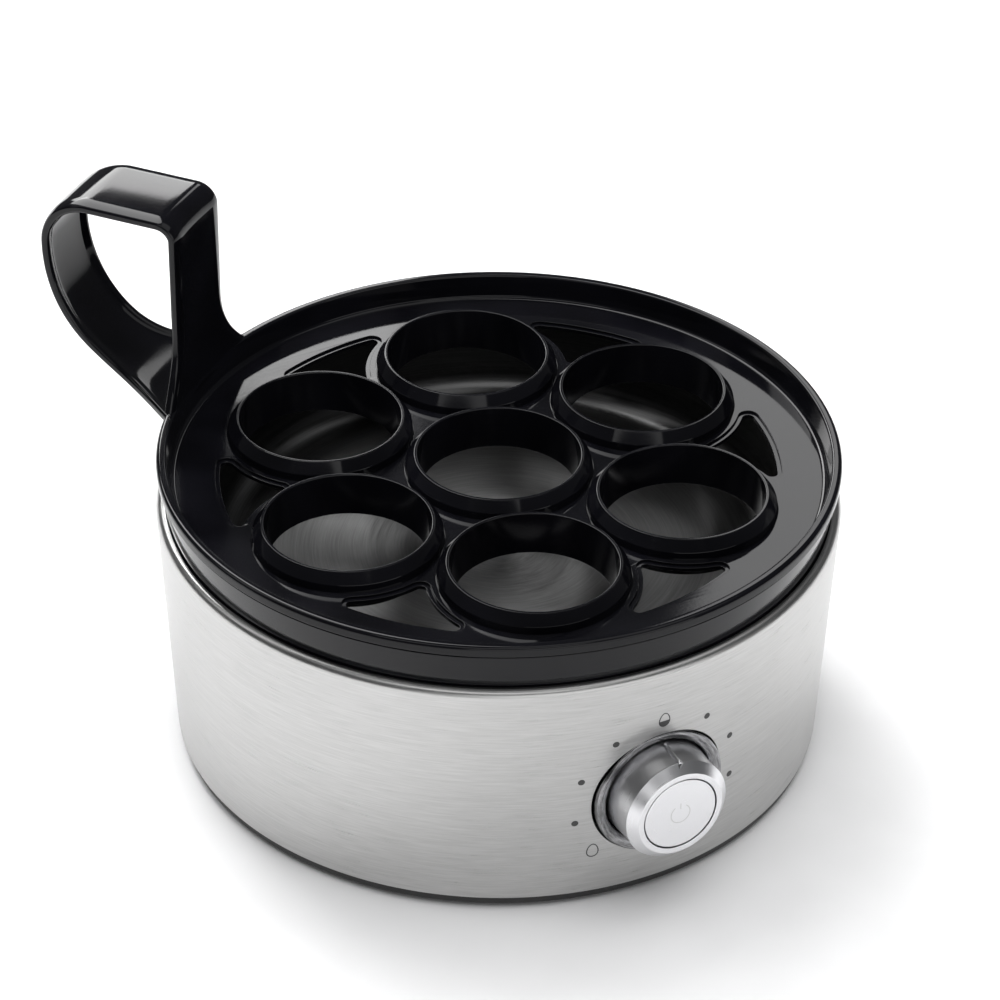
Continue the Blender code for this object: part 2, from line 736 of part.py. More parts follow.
def make_board():
    """The upright control board behind the dial, and what is soldered to it."""
    middle = -(board_front + board_back) / 2
    board = block(
        "control_board",
        (BOARD_WIDTH, BOARD_SHEET, BOARD_HEIGHT),
        (0.0, middle, KNOB_HEIGHT - BOARD_DROP),
        "circuit_board",
    )
    stem_hole = disc(
        "stem_hole", STEM_RADIUS + 2 * FIT, board_back - OVER, board_front + OVER, None, TINY, **knob_frame
    )
    boolean(board, stem_hole, "DIFFERENCE")
    for side in (-1, 1):
        spot = (side * peg_offset, 0.0, KNOB_HEIGHT)
        hole = disc(
            f"board_hole_{side}",
            SCREW_RADIUS + FIT,
            board_back - OVER,
            board_front + OVER,
            None,
            TINY,
            location=spot,
            rotation=knob_frame["rotation"],
        )
        boolean(board, hole, "DIFFERENCE")

    outline = [
        (bush_radius, recess_back + BUSH_REACH),
        (bush_radius, sensor_front),
        (SENSOR_RADIUS, sensor_front),
        (SENSOR_RADIUS, sensor_back),
        (SHAFT_RADIUS + SEAM, sensor_back),
        (SHAFT_RADIUS + SEAM, recess_back + BUSH_REACH),
    ]
    turned("dial_sensor", outline, "grey_plastic", SMALL, **knob_frame)
    hex_nut(
        "sensor_nut",
        bush_radius,
        NUT_WALL,
        recess_back + SEAM,
        recess_back + SEAM + NUT_HEIGHT,
        "satin_metal",
        **knob_frame,
    )

    back = -(board_back - SEAM)
    switch = block(
        "push_switch",
        (SWITCH_SIZE, SWITCH_SIZE, SWITCH_SIZE),
        (0.0, back + SWITCH_SIZE / 2, KNOB_HEIGHT),
        "grey_plastic",
        SEAM,
    )
    socket = disc(
        "switch_socket",
        STEM_RADIUS + FIT,
        board_back - PLUNGER_LENGTH - BUTTON_TRAVEL - 4 * SEAM,
        board_back,
        None,
        TINY,
        **knob_frame,
    )
    boolean(switch, socket, "DIFFERENCE")
    low = KNOB_HEIGHT - BOARD_DROP - BOARD_HEIGHT / 2
    for name, size, (across, up), finish in (
        ("relay", RELAY_SIZE, RELAY_PLACE, "blue_plastic"),
        ("capacitor", CAPACITOR_SIZE, CAPACITOR_PLACE, "grey_plastic"),
    ):
        block(name, size, (across, back + size[1] / 2, low + up), finish, SEAM)
    disc(
        "buzzer",
        BUZZER_RADIUS,
        board_back - SEAM - BUZZER_HEIGHT,
        board_back - SEAM,
        "satin_black",
        SMALL,
        location=(BUZZER_PLACE[0], 0.0, KNOB_HEIGHT + BUZZER_PLACE[1]),
        rotation=knob_frame["rotation"],
    )


def make_knob():
    """The turning knob with its pointer rib, its hollow shaft, and the sprung button in its face."""
    button_bore = BUTTON_RADIUS + SEAM
    outline = [
        (KNOB_FACE_RADIUS, knob_front),
        (KNOB_RADIUS, knob_ridge + KNOB_BARREL_INSET),
        (KNOB_RADIUS, knob_ridge),
        (barrel_radius, knob_ridge - KNOB_BARREL_INSET),
        (barrel_radius, barrel_back),
        (barrel_radius - KNOB_WALL, barrel_back),
        (barrel_radius - KNOB_WALL, web_back),
        (hub_radius, web_back),
        (hub_radius, barrel_back),
        (SHAFT_RADIUS + SEAM, barrel_back),
        (SHAFT_RADIUS + SEAM, web_front),
        (button_bore, web_front),
        (button_bore, knob_front),
    ]
    knob = turned("knob", outline, "satin_metal", MIDDLE, **knob_frame)
    rib_length = knob_ridge - wall_at_knob + POINTER_OVERLAP
    rib_radius = barrel_radius - KNOB_WALL / 4
    rib = block("pointer_rib", (POINTER_WIDTH, KNOB_WALL, rib_length), (0.0, 0.0, 0.0), None)
    turn = Matrix.Rotation(POINTER_ANGLE, 4, "Y")
    up = turn @ Vector((0.0, 0.0, rib_radius))
    rib.location = Vector((0.0, -(wall_at_knob + rib_length / 2), KNOB_HEIGHT)) + up
    rib.rotation_euler = (turn @ Matrix.Rotation(math.radians(90), 4, "X")).to_euler()
    boolean(knob, rib, "UNION")

    ring(
        "knob_shaft",
        SHAFT_RADIUS - SHAFT_WALL,
        SHAFT_RADIUS,
        sensor_back + 2 * SEAM,
        web_front,
        "satin_metal",
        SMALL,
        **knob_frame,
    )

    stem_end = board_back - SEAM
    outline = [
        (0.0, button_front),
        (BUTTON_RADIUS - BUTTON_EDGE, button_front),
        (BUTTON_RADIUS, button_front - BUTTON_EDGE),
        (BUTTON_RADIUS, button_back),
        (hub_radius - HUB_WALL, button_back),
        (STEM_RADIUS, button_back - BUTTON_CONE),
        (STEM_RADIUS, stem_end),
        (0.0, stem_end),
    ]
    turned("knob_button", outline, "satin_metal", MIDDLE, **knob_frame)
    plunger_top = stem_end - SEAM
    plunger_foot = plunger_top - PLUNGER_LENGTH
    disc("switch_plunger", STEM_RADIUS, plunger_foot, plunger_top, "gloss_black", TINY, **knob_frame)

    low = web_front + SEAM + SPRING_WIRE
    high = button_back - SEAM - SPRING_WIRE
    per_turn = 9
    count = per_turn * SPRING_TURNS
    points = []
    for i in range(count + 1):
        angle = 2 * math.pi * i / per_turn
        x = SPRING_COIL_RADIUS * math.cos(angle)
        y = SPRING_COIL_RADIUS * math.sin(angle)
        points.append((x, y, low + (high - low) * i / count))
    wire("button_spring", points, SPRING_WIRE, "chrome", 1, **knob_frame)


# ---------------------------------------------------------------- the tray and its handle


def cup_centres():
    """The middle cup and the six round it."""
    centres = [Vector((0.0, 0.0, 0.0))]
    for i in range(6):
        centres.append(at_bearing(CUP_BEARING + 60 * i, cup_pitch, 0.0))
    return centres


def seven_cones(name, bottom_radius, top_radius, bottom, top, steps=SMALL):
    """One tool that holds the same cone at each of the seven cups."""
    form = bmesh.new()
    for centre in cup_centres():
        middle = centre + Vector((0.0, 0.0, (bottom + top) / 2))
        bmesh.ops.create_cone(
            form,
            cap_ends=True,
            segments=steps,
            radius1=bottom_radius,
            radius2=top_radius,
            depth=top - bottom,
            matrix=Matrix.Translation(middle),
        )
    mesh = bpy.data.meshes.new(name)
    form.to_mesh(mesh)
    form.free()
    return placed(name, mesh, None)


def make_tray():
    """The tray: a pan with a rolled lip, seven raised cups with open middles, and six vents."""
    corner = (pan_radius - TRAY_CORNER, tray_floor + TRAY_CORNER)
    outline = (
        [(0.0, tray_floor)]
        + arc(corner, TRAY_CORNER, -90, -10, 5)
        + [(pan_radius + LIP_CROWN / 2, rim_top - 1.5 * LIP_CROWN)]
        + [(pan_radius + 1.5 * LIP_CROWN, rim_top), (RIM_RADIUS, rim_top)]
        + [(lip_radius - LIP_CROWN / 3, rim_top - LIP_CROWN / 3), (lip_radius, rim_top - LIP_CROWN)]
        + [(lip_radius, lip_foot), (pan_outer, lip_foot)]
        + [(pan_foot_radius, tray_under), (0.0, tray_under)]
    )
    tray = turned("egg_tray", outline, "gloss_black", ROUND)
    collar = CUP_RADIUS + CUP_COLLAR
    cup_top = tray_floor + CUP_RISE
    collar_foot = tray_floor - TRAY_SHEET / 2
    collars = seven_cones("cup_collars", collar, CUP_RADIUS + CUP_WALL / 2, collar_foot, cup_top)
    boolean(tray, collars, "UNION")
    skirt_top = tray_under + TRAY_SHEET / 2
    skirt_foot = tray_under - CUP_SKIRT
    skirts = seven_cones("cup_skirts", CUP_RADIUS, CUP_RADIUS + CUP_WALL, skirt_foot, skirt_top)
    boolean(tray, skirts, "UNION")
    slope = CUP_TAPER / (cup_top - skirt_foot)
    bores = seven_cones(
        "cup_bores",
        CUP_RADIUS - CUP_TAPER - slope * OVER,
        CUP_RADIUS + slope * OVER,
        skirt_foot - OVER,
        cup_top + OVER,
    )
    boolean(tray, bores, "DIFFERENCE")

    vents = ring(
        "vent_windows",
        cup_pitch * math.cos(math.radians(30)),
        vent_outer_radius,
        tray_under - OVER,
        tray_floor + OVER,
        None,
        ROUND,
    )
    margin = collar + VENT_MARGIN
    keep = seven_cones("vent_margins", margin, margin, tray_under - 2 * OVER, tray_floor + 2 * OVER)
    boolean(vents, keep, "DIFFERENCE", crosses_itself=True)
    for i in range(3):
        height = TRAY_SHEET + 4 * OVER
        middle = (0.0, 0.0, (tray_floor + tray_under) / 2)
        rib = block("vent_rib", (VENT_RIB, 2 * lip_radius, height), middle, None)
        rib.rotation_euler = (0.0, 0.0, math.radians(CUP_BEARING + 60 * i))
        boolean(vents, rib, "DIFFERENCE")
    boolean(tray, vents, "DIFFERENCE")


def handle_path():
    """The handle's middle line, as (radius, height, half width, share of the rim's curve)."""
    half_sheet = HANDLE_SHEET / 2
    post = pan_radius - HANDLE_INSET + half_sheet
    foot = rim_top + SEAM
    top = rim_top + HANDLE_RISE - half_sheet
    reach = RIM_RADIUS + HANDLE_REACH - half_sheet
    half, end_half = HANDLE_WIDTH / 2, HANDLE_END_WIDTH / 2

    def flare(size, share):
        return size * max(0.0, 1 - share) ** 2

    path = []
    post_top = top - HANDLE_INNER_CORNER
    for i in range(8):
        height = foot + POST_FLARE_HEIGHT * i / 7
        path.append((post, height, half + flare(POST_FLARE, i / 7), 1.0))
    for i in range(6):
        angle = math.radians(180 - 90 * i / 5)
        radius = post + HANDLE_INNER_CORNER + HANDLE_INNER_CORNER * math.cos(angle)
        height = post_top + HANDLE_INNER_CORNER * math.sin(angle)
        path.append((radius, height, half, 1 - i / 5))
    turn = (reach - HANDLE_OUTER_CORNER, top - HANDLE_OUTER_CORNER)
    for i in range(7):
        angle = math.radians(90 - 90 * i / 6)
        radius = turn[0] + HANDLE_OUTER_CORNER * math.cos(angle)
        height = turn[1] + HANDLE_OUTER_CORNER * math.sin(angle)
        path.append((radius, height, half + (end_half - half) * i / 6, 0.0))
    end = (lip_radius + FIT + half_sheet / 2, lip_foot + half_sheet)
    start, pull = path[-1], RETURN_DROP * (turn[1] - end[1])
    for i in range(1, 11):
        t = i / 10
        weights = ((1 - t) ** 3, 3 * t * (1 - t) ** 2, 3 * t**2 * (1 - t), t**3)
        radii = (start[0], start[0], end[0] + RETURN_SWEEP * (start[0] - end[0]), end[0])
        heights = (start[1], start[1] - pull, end[1] + half_sheet, end[1])
        radius = sum(w * r for w, r in zip(weights, radii))
        height = sum(w * h for w, h in zip(weights, heights))
        out = (radius - end[0]) / RETURN_FLARE_REACH
        path.append((radius, height, end_half + flare(RETURN_FLARE, out), t**2))
    return path


def make_handle():
    """The loop handle: a strap that follows its path and flares where it meets the lip."""
    across = (-1.0, -0.5, 0.0, 0.5, 1.0)
    form = bmesh.new()
    rows = []
    for radius, height, half, bend in handle_path():
        row = []
        for share in across:
            side = share * half
            drop = bend * (radius - math.sqrt(radius**2 - side**2))
            row.append(form.verts.new((side, -(radius - drop), height)))
        rows.append(row)
    for low, high in zip(rows, rows[1:]):
        for i in range(len(across) - 1):
            form.faces.new((low[i], low[i + 1], high[i + 1], high[i]))
    mesh = bpy.data.meshes.new("tray_handle")
    form.to_mesh(mesh)
    form.free()
    handle = placed("tray_handle", mesh, "gloss_black", rotation=(0.0, 0.0, math.radians(HANDLE_BEARING)))
    shell = handle.modifiers.new("Thickness", "SOLIDIFY")
    shell.thickness = HANDLE_SHEET
    shell.offset = 0.0
    shell.use_even_offset = True


# ---------------------------------------------------------------- the mains entry


def make_mains_entry():
    """The gland in the back of the wall, the terminal block and the wires inside."""
    back = wall_foot_radius + (GLAND_HEIGHT - wall_foot) * math.tan(WALL_TAPER)
    face = {"location": (0.0, 0.0, GLAND_HEIGHT), "rotation": (math.radians(-90), 0.0, 0.0)}
    head = GLAND_RADIUS + GLAND_HEAD
    inside = back - WALL_SHEET - GLAND_GRIP
    outline = [
        (GLAND_RADIUS - GLAND_EDGE, back + GLAND_NOSE),
        (GLAND_RADIUS, back + GLAND_NOSE - OVER),
        (head, back + GLAND_HEAD),
        (head, back + FIT),
        (GLAND_RADIUS, back + FIT),
        (GLAND_RADIUS, inside - GLAND_TAIL),
        (GLAND_BORE_RADIUS, inside - GLAND_TAIL),
        (GLAND_BORE_RADIUS, back + GLAND_NOSE),
    ]
    turned("cord_gland", outline, "satin_black", SMALL, **face)
    nut_top = inside - 2 * SEAM
    hex_nut("gland_nut", GLAND_RADIUS, NUT_WALL, nut_top - NUT_HEIGHT, nut_top, "grey_plastic", **face)

    wire_height = base_floor + SEAM + TERMINAL_SIZE[2] / 2
    terminal_y = inside - TERMINAL_GAP
    block("terminal_block", TERMINAL_SIZE, (0.0, terminal_y, wire_height), "ceramic", SEAM)

    start_y = terminal_y - TERMINAL_SIZE[1] / 2 - SEAM
    relay_back = -(board_back - SEAM) + RELAY_SIZE[1] + SEAM
    for side, name, finish in ((-1, "live_wire", "brown_wire"), (1, "neutral_wire", "blue_wire")):
        points = [Vector((side * across, start_y - ahead, wire_height)) for across, ahead in WIRE_ROUTE]
        pin = RELAY_PLACE[0] + side * RELAY_PINS
        points.append(Vector((pin, relay_back + WIRE_END, wire_height)))
        points.append(Vector((pin, relay_back, wire_height)))
        wire(name, smooth_route(points, 4), WIRE_RADIUS, finish, 1)


def smooth_route(points, steps):
    """Points along a smooth curve through the given ones."""
    route = [points[0]]
    padded = [points[0]] + points + [points[-1]]
    for i in range(len(points) - 1):
        before, start, stop, after = padded[i : i + 4]
        for step in range(1, steps + 1):
            t = step / steps
            bend = (
                2 * start
                + (stop - before) * t
                + (2 * before - 5 * start + 4 * stop - after) * t**2
                + (3 * start - before - 3 * stop + after) * t**3
            )
            route.append(bend / 2)
    return route


make_housing()
make_base()
make_band()
make_dish()
make_heater()
make_shield()
make_dial_seat()
make_board()
make_knob()
make_tray()
make_handle()
make_mains_entry()
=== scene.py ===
# %% [markdown]
# # An egg cooker: the looks
# The design of this egg cooker is packed as a frame: plain solids at their real size and place.
# This lesson builds the surfaces that are seen. Each piece takes its size from the solid it stands
# for, so nothing has to be fitted by eye, and each one rides on the body that carries the solid.
# Lengths are in metres. The body stands on its feet at height 0, and the knob faces -Y.

# %% The frame
import json
import math

import bmesh
import bpy
from mathutils import Matrix, Vector

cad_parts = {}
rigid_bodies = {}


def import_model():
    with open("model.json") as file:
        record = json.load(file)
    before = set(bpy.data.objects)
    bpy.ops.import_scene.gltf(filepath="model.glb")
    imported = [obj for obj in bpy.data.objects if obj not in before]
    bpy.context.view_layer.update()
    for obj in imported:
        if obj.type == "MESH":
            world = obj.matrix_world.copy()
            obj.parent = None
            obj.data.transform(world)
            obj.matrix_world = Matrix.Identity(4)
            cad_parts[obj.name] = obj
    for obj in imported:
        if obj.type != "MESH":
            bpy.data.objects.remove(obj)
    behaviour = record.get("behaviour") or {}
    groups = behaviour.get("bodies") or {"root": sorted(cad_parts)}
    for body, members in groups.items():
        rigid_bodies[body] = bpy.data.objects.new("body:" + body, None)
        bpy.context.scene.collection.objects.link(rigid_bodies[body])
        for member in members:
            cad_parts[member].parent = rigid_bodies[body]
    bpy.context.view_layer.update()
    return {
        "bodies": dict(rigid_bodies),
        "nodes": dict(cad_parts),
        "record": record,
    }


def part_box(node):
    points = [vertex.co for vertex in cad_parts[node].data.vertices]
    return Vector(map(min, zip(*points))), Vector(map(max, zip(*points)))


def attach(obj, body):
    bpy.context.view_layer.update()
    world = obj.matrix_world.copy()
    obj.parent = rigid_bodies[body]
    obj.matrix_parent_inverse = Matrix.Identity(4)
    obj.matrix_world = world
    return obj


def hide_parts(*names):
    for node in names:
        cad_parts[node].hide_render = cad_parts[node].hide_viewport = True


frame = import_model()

print("bodies:", ", ".join(frame["bodies"]))

# %% [markdown]
# ## Reading sizes
# Every piece below starts from the box of its solid. A round solid's radius is half its width, and
# its box gives the two heights. Three small helpers read them, so the later cells stay short.

# %% Sizes from the frame
def spans(node):
    """The lowest and highest corner of a node's box, as two vectors."""
    low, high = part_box(node)
    return Vector(low), Vector(high)


def radius_of(node):
    """Half the width of a round solid."""
    low, high = spans(node)
    return (high.x - low.x) / 2


def under(node):
    """The place on the ground below a solid's middle, as a matrix."""
    low, high = spans(node)
    middle = (low + high) / 2
    return Matrix.Translation((middle.x, middle.y, 0))


wall_low, wall_high = spans("housing_shell")
band_high = spans("collar_ring")[1]
tray_low, tray_high = spans("egg_tray")
base_low = spans("base_plate")[0]
dish_low, dish_high = spans("heating_dish")
knob_low, knob_high = spans("knob")
button_low, button_high = spans("knob_button")
bezel_low, bezel_high = spans("dial_bezel")
recess_low, recess_high = spans("dial_recess")
handle_high = spans("tray_handle")[1]

wall_radius = radius_of("housing_shell")
lip_radius = radius_of("egg_tray")
band_radius = radius_of("collar_ring")
base_radius = radius_of("base_plate")
knob_height = (button_low.z + button_high.z) / 2
rim_top = tray_high.z
print(f"wall {wall_radius * 2000:.1f} mm across, rim {rim_top * 1000:.1f} mm high")

# %% [markdown]
# ## Turning
# Nearly everything here is round, so most pieces are turned: an outline of (radius, height) is
# carried round an axis. Real edges are never sharp. Each corner of an outline has its own small
# rounding, which catches a line of light, and that line is what makes a moulding look moulded.

# %% Outlines with rounded corners
def rounded(corners, steps=4):
    """The outline through (radius, height, rounding) corners, with each corner made an arc."""
    points = []
    count = len(corners)
    for i, (radius, height, size) in enumerate(corners):
        here = Vector((radius, height))
        before = Vector(corners[i - 1][:2]) - here
        after = Vector(corners[(i + 1) % count][:2]) - here
        if size <= 0 or before.length < 1e-9 or after.length < 1e-9:
            points.append(here)
            continue
        a, b = before.normalized(), after.normalized()
        half = math.acos(max(-1.0, min(1.0, a.dot(b)))) / 2
        if half > math.radians(89):
            points.append(here)
            continue
        run = min(size / math.tan(half), 0.48 * before.length, 0.48 * after.length)
        size = run * math.tan(half)
        middle = here + (a + b).normalized() * (size / math.sin(half))
        start, stop = here + a * run - middle, here + b * run - middle
        sweep = start.angle_signed(stop)
        for step in range(steps + 1):
            turn = Matrix.Rotation(-sweep * step / steps, 2)
            points.append(middle + turn @ start)
    return points


# %% Meshes from forms
def as_object(form, name):
    """Turns a bmesh into an object in the scene."""
    mesh = bpy.data.meshes.new(name)
    form.to_mesh(mesh)
    form.free()
    made = bpy.data.objects.new(name, mesh)
    bpy.context.scene.collection.objects.link(made)
    return made


def finish_mesh(form, name, angle=40):
    """A smooth object from a bmesh, with crisp edges where the surface turns sharply."""
    bmesh.ops.recalc_face_normals(form, faces=form.faces)
    piece = as_object(form, name)
    piece.data.shade_smooth()
    piece.data.set_sharp_from_angle(angle=math.radians(angle))
    even = piece.modifiers.new("Even light", "WEIGHTED_NORMAL")
    even.keep_sharp = True
    even.weight = 80
    return piece


def add_turned(form, points, steps, place=Matrix()):
    """Adds the outline, carried once round its axis, to a bmesh."""
    rings = []
    for point in points:
        if point[0] < 1e-7:
            rings.append([form.verts.new(place @ Vector((0, 0, point[1])))] * steps)
            continue
        ring = []
        for step in range(steps):
            angle = 2 * math.pi * step / steps
            spot = Vector((point[0] * math.cos(angle), point[0] * math.sin(angle), point[1]))
            ring.append(form.verts.new(place @ spot))
        rings.append(ring)
    for one, other in zip(rings, rings[1:] + rings[:1]):
        for step in range(steps):
            far = (step + 1) % steps
            corners = []
            for vert in (one[step], one[far], other[far], other[step]):
                if vert not in corners:
                    corners.append(vert)
            if len(corners) > 2:
                form.faces.new(corners)


def join_pair(form, one, other):
    """Joins two closed loops of points with a ring of faces."""
    for i in range(len(one)):
        far = (i + 1) % len(one)
        form.faces.new((one[i], one[far], other[far], other[i]))


def join_loops(form, loops):
    """Skins a row of closed loops, and caps both ends."""
    for one, other in zip(loops, loops[1:]):
        join_pair(form, one, other)
    form.faces.new(loops[0])
    form.faces.new(loops[-1])


def turned(name, corners, steps=192, place=Matrix(), rounding_steps=4):
    """One turned piece."""
    form = bmesh.new()
    add_turned(form, rounded(corners, rounding_steps), steps, place)
    return finish_mesh(form, name)


def belongs(piece, finish, body, slot, *nodes):
    """Gives the piece its finish, and says which body carries it and which solids it stands for."""
    piece.data.materials.append(finish)
    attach(piece, body)
    if nodes:
        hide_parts(*nodes)
    print(f"{piece.name}: {len(piece.data.polygons)} faces on {body}")
    return piece


# The knob's own axes: Z runs out of the wall along the knob's axis, and Y is up.
knob_place = Matrix.Translation((0, 0, knob_height)) @ Matrix.Rotation(math.radians(90), 4, "X")

# %% [markdown]
# ## Camera
# The camera looks down at the cooker from the front and a little to the left of the knob. It is
# level but for a hair of roll, and a long lens a metre away keeps the circles calm.

# %% Camera
camera_data = bpy.data.cameras.new("camera")
camera_data.sensor_width = 36.0
camera_data.lens = 142.15
camera_data.clip_start = 0.05
camera = bpy.data.objects.new("camera", camera_data)
bpy.context.scene.collection.objects.link(camera)
view_bearing = math.radians(-28.0)
view_height = math.radians(34.09)
view_distance = 1.0
aim = Vector((0.0003, -0.00016, 0.06496))
back = Vector((
    math.sin(view_bearing) * math.cos(view_height),
    -math.cos(view_bearing) * math.cos(view_height),
    math.sin(view_height),
))
camera.location = aim + back * view_distance
camera.rotation_mode = "QUATERNION"
tilt = Matrix.Rotation(math.radians(0.62), 3, "Z").to_quaternion()
camera.rotation_quaternion = back.to_track_quat("Z", "Y") @ tilt
bpy.context.scene.camera = camera
print("camera at", [round(v, 3) for v in camera.location])

# %% [markdown]
# ## Finishes
# Each finish is a small network of nodes. The light does the work, so the networks mostly vary the
# roughness and add a very low relief: a polished moulding has a faint ripple, brushed steel has
# lines that run with the brush, and rubber has a grain. Colour changes little, but on the bezel,
# whose dark and light streaks are painted reflection, and the dish's steel is painted dark as shade.

# %% A helper for finishes
class Finish:
    """A material with its shader, and a short way to add and join nodes."""

    def __init__(self, name):
        self.material = bpy.data.materials.new(name)
        self.material.use_nodes = True
        self.tree = self.material.node_tree
        self.shader = self.tree.nodes["Principled BSDF"]

    def node(self, kind, **values):
        made = self.tree.nodes.new("ShaderNode" + kind)
        for name, value in values.items():
            setattr(made, name, value)
        return made

    def join(self, output, target):
        self.tree.links.new(output, target)

    def math(self, operation, first, second=None):
        made = self.node("Math", operation=operation)
        for socket, value in zip(made.inputs, (first, second)):
            if isinstance(value, (int, float)):
                socket.default_value = value
            elif value is not None:
                self.join(value, socket)
        return made.outputs[0]

    def noise(self, where, scale, detail=2.0, roughness=0.5):
        made = self.node("TexNoise")
        made.inputs["Scale"].default_value = scale
        made.inputs["Detail"].default_value = detail
        made.inputs["Roughness"].default_value = roughness
        self.join(where, made.inputs["Vector"])
        return made.outputs[0]

    def spread(self, value, low, high, start=0.3, stop=0.7):
        """Turns a noise value into a number between low and high."""
        made = self.node("MapRange")
        for name, number in zip(("From Min", "From Max", "To Min", "To Max"), (start, stop, low, high)):
            made.inputs[name].default_value = number
        self.join(value, made.inputs["Value"])
        return made.outputs[0]

    def colour(self, value, dark, light):
        made = self.node("ValToRGB")
        for stop, place, shade in zip(made.color_ramp.elements, (0.3, 0.7), (dark, light)):
            stop.position = place
            stop.color = (*shade, 1.0)
        self.join(value, made.inputs[0])
        self.join(made.outputs[0], self.shader.inputs["Base Color"])

    def relief(self, value, depth, strength=1.0):
        made = self.node("Bump")
        made.inputs["Strength"].default_value = strength
        made.inputs["Distance"].default_value = depth
        self.join(value, made.inputs["Height"])
        self.join(made.outputs[0], self.shader.inputs["Normal"])

    def set(self, **values):
        for name, value in values.items():
            self.shader.inputs[name.replace("_", " ").capitalize()].default_value = value

    def shade(self, name, value):
        self.join(value, self.shader.inputs[name])


def position(finish):
    """Where a point lies on the object, which doesn't slide when the camera moves."""
    return finish.node("TexCoord").outputs["Object"]


def grey(level, blue=0.0):
    """A neutral grey, a little cooler if asked."""
    return (level, level, level * (1 + blue))


# %% [markdown]
# ### Moulded plastic
# The band, the tray and its handle are polished black plastic, and the base and the recess are
# satin. The tool's surface leaves a long, shallow ripple that bends reflections slightly, and a
# finer one that keeps the gloss from being a perfect mirror.

# %% Plastic, rubber and board finishes
def moulded(name, dark, light, rough_low, rough_high, ripple=0.00002, grain=1400, shine=0.5):
    """A moulded surface with a shallow ripple and a fine grain."""
    finish = Finish(name)
    where = position(finish)
    wide = finish.noise(where, 55, 1.0)
    fine = finish.noise(where, grain, 2.0)
    finish.colour(wide, dark, light)
    finish.shade("Roughness", finish.spread(wide, rough_low, rough_high))
    both = finish.math("ADD", finish.math("MULTIPLY", wide, 4.0), fine)
    finish.relief(both, ripple, 0.5)
    finish.set(metallic=0.0)
    finish.shader.inputs["Specular IOR Level"].default_value = shine
    return finish.material


gloss_black = moulded("gloss_black", grey(0.002, 0.4), grey(0.004, 0.4), 0.06, 0.10, 0.000004, 900, 0.26)
satin_black = moulded("satin_black", grey(0.012), grey(0.018), 0.38, 0.50, 0.00002, 2600)
rubber = moulded("rubber", grey(0.018), grey(0.030), 0.75, 0.90, 0.00006, 2200)
silicone = moulded("silicone", (0.42, 0.12, 0.08), (0.52, 0.17, 0.11), 0.50, 0.65)
grey_plastic = moulded("grey_plastic", grey(0.24), grey(0.30), 0.42, 0.55, 0.00002, 2600)
blue_plastic = moulded("blue_plastic", (0.03, 0.12, 0.36), (0.05, 0.16, 0.42), 0.30, 0.42)
ceramic = moulded("ceramic", (0.72, 0.70, 0.64), (0.82, 0.80, 0.74), 0.50, 0.65, 0.00003, 1800)
circuit_board = moulded("circuit_board", (0.015, 0.14, 0.06), (0.03, 0.20, 0.09), 0.35, 0.50)
brown_insulation = moulded("brown_insulation", (0.15, 0.06, 0.02), (0.20, 0.08, 0.03), 0.35, 0.50)
blue_insulation = moulded("blue_insulation", (0.02, 0.08, 0.32), (0.03, 0.11, 0.40), 0.35, 0.50)
print("plastics ready")

# %% [markdown]
# ### Brushed and plated metal
# The wall was brushed while it turned, so its lines run round the body. The dish was brushed on a
# spindle too, and its lines are rings. One network serves both: it measures how far a point is
# round the axis and how far it is out or up, then stretches a noise along the first. Brushing
# spreads each highlight across the lines, which the shader's anisotropy gives.

# %% Brushed metal
def brushed(name, dark, light, rough_low, rough_high, axis="Z", across=2600.0, along=9.0,
            depth=0.000006, spread=0.6):
    """Metal brushed round the body's axis (Z) or round the knob's (Y)."""
    finish = Finish(name)
    where = position(finish)
    parts = finish.node("SeparateXYZ")
    finish.join(where, parts.inputs[0])
    x, y, z = parts.outputs
    if axis == "Z":
        bearing = finish.math("ARCTAN2", x, finish.math("MULTIPLY", y, -1.0))
        beside, up = y, z
    else:
        beside, up = finish.math("SUBTRACT", z, knob_height), y
        bearing = finish.math("ARCTAN2", x, beside)
    squares = finish.math("ADD", finish.math("POWER", x, 2.0), finish.math("POWER", beside, 2.0))
    out = finish.math("SQRT", squares)
    lines = finish.node("CombineXYZ")
    finish.join(finish.math("MULTIPLY", bearing, along), lines.inputs[0])
    finish.join(finish.math("MULTIPLY", out, across), lines.inputs[1])
    finish.join(finish.math("MULTIPLY", up, across), lines.inputs[2])
    streaks = finish.noise(lines.outputs[0], 1.0, 3.0, 0.6)
    soft = finish.noise(where, 26, 2.0)
    mixed = finish.math("ADD", finish.math("MULTIPLY", streaks, 0.8), finish.math("MULTIPLY", soft, 0.2))
    finish.colour(mixed, dark, light)
    finish.shade("Roughness", finish.spread(mixed, rough_low, rough_high))
    finish.relief(streaks, depth, 0.6)
    finish.set(metallic=1.0, anisotropic=spread)
    turn = finish.node("Tangent", direction_type="RADIAL", axis=axis)
    finish.join(turn.outputs[0], finish.shader.inputs["Tangent"])
    return finish.material


def plated(name, dark, light, rough_low, rough_high, depth=0.000004):
    """Metal with no brush marks, only a fine grain."""
    finish = Finish(name)
    where = position(finish)
    wide = finish.noise(where, 90, 2.0)
    fine = finish.noise(where, 3200, 2.0)
    finish.colour(wide, dark, light)
    finish.shade("Roughness", finish.spread(fine, rough_low, rough_high))
    finish.relief(fine, depth, 0.5)
    finish.set(metallic=1.0)
    return finish.material


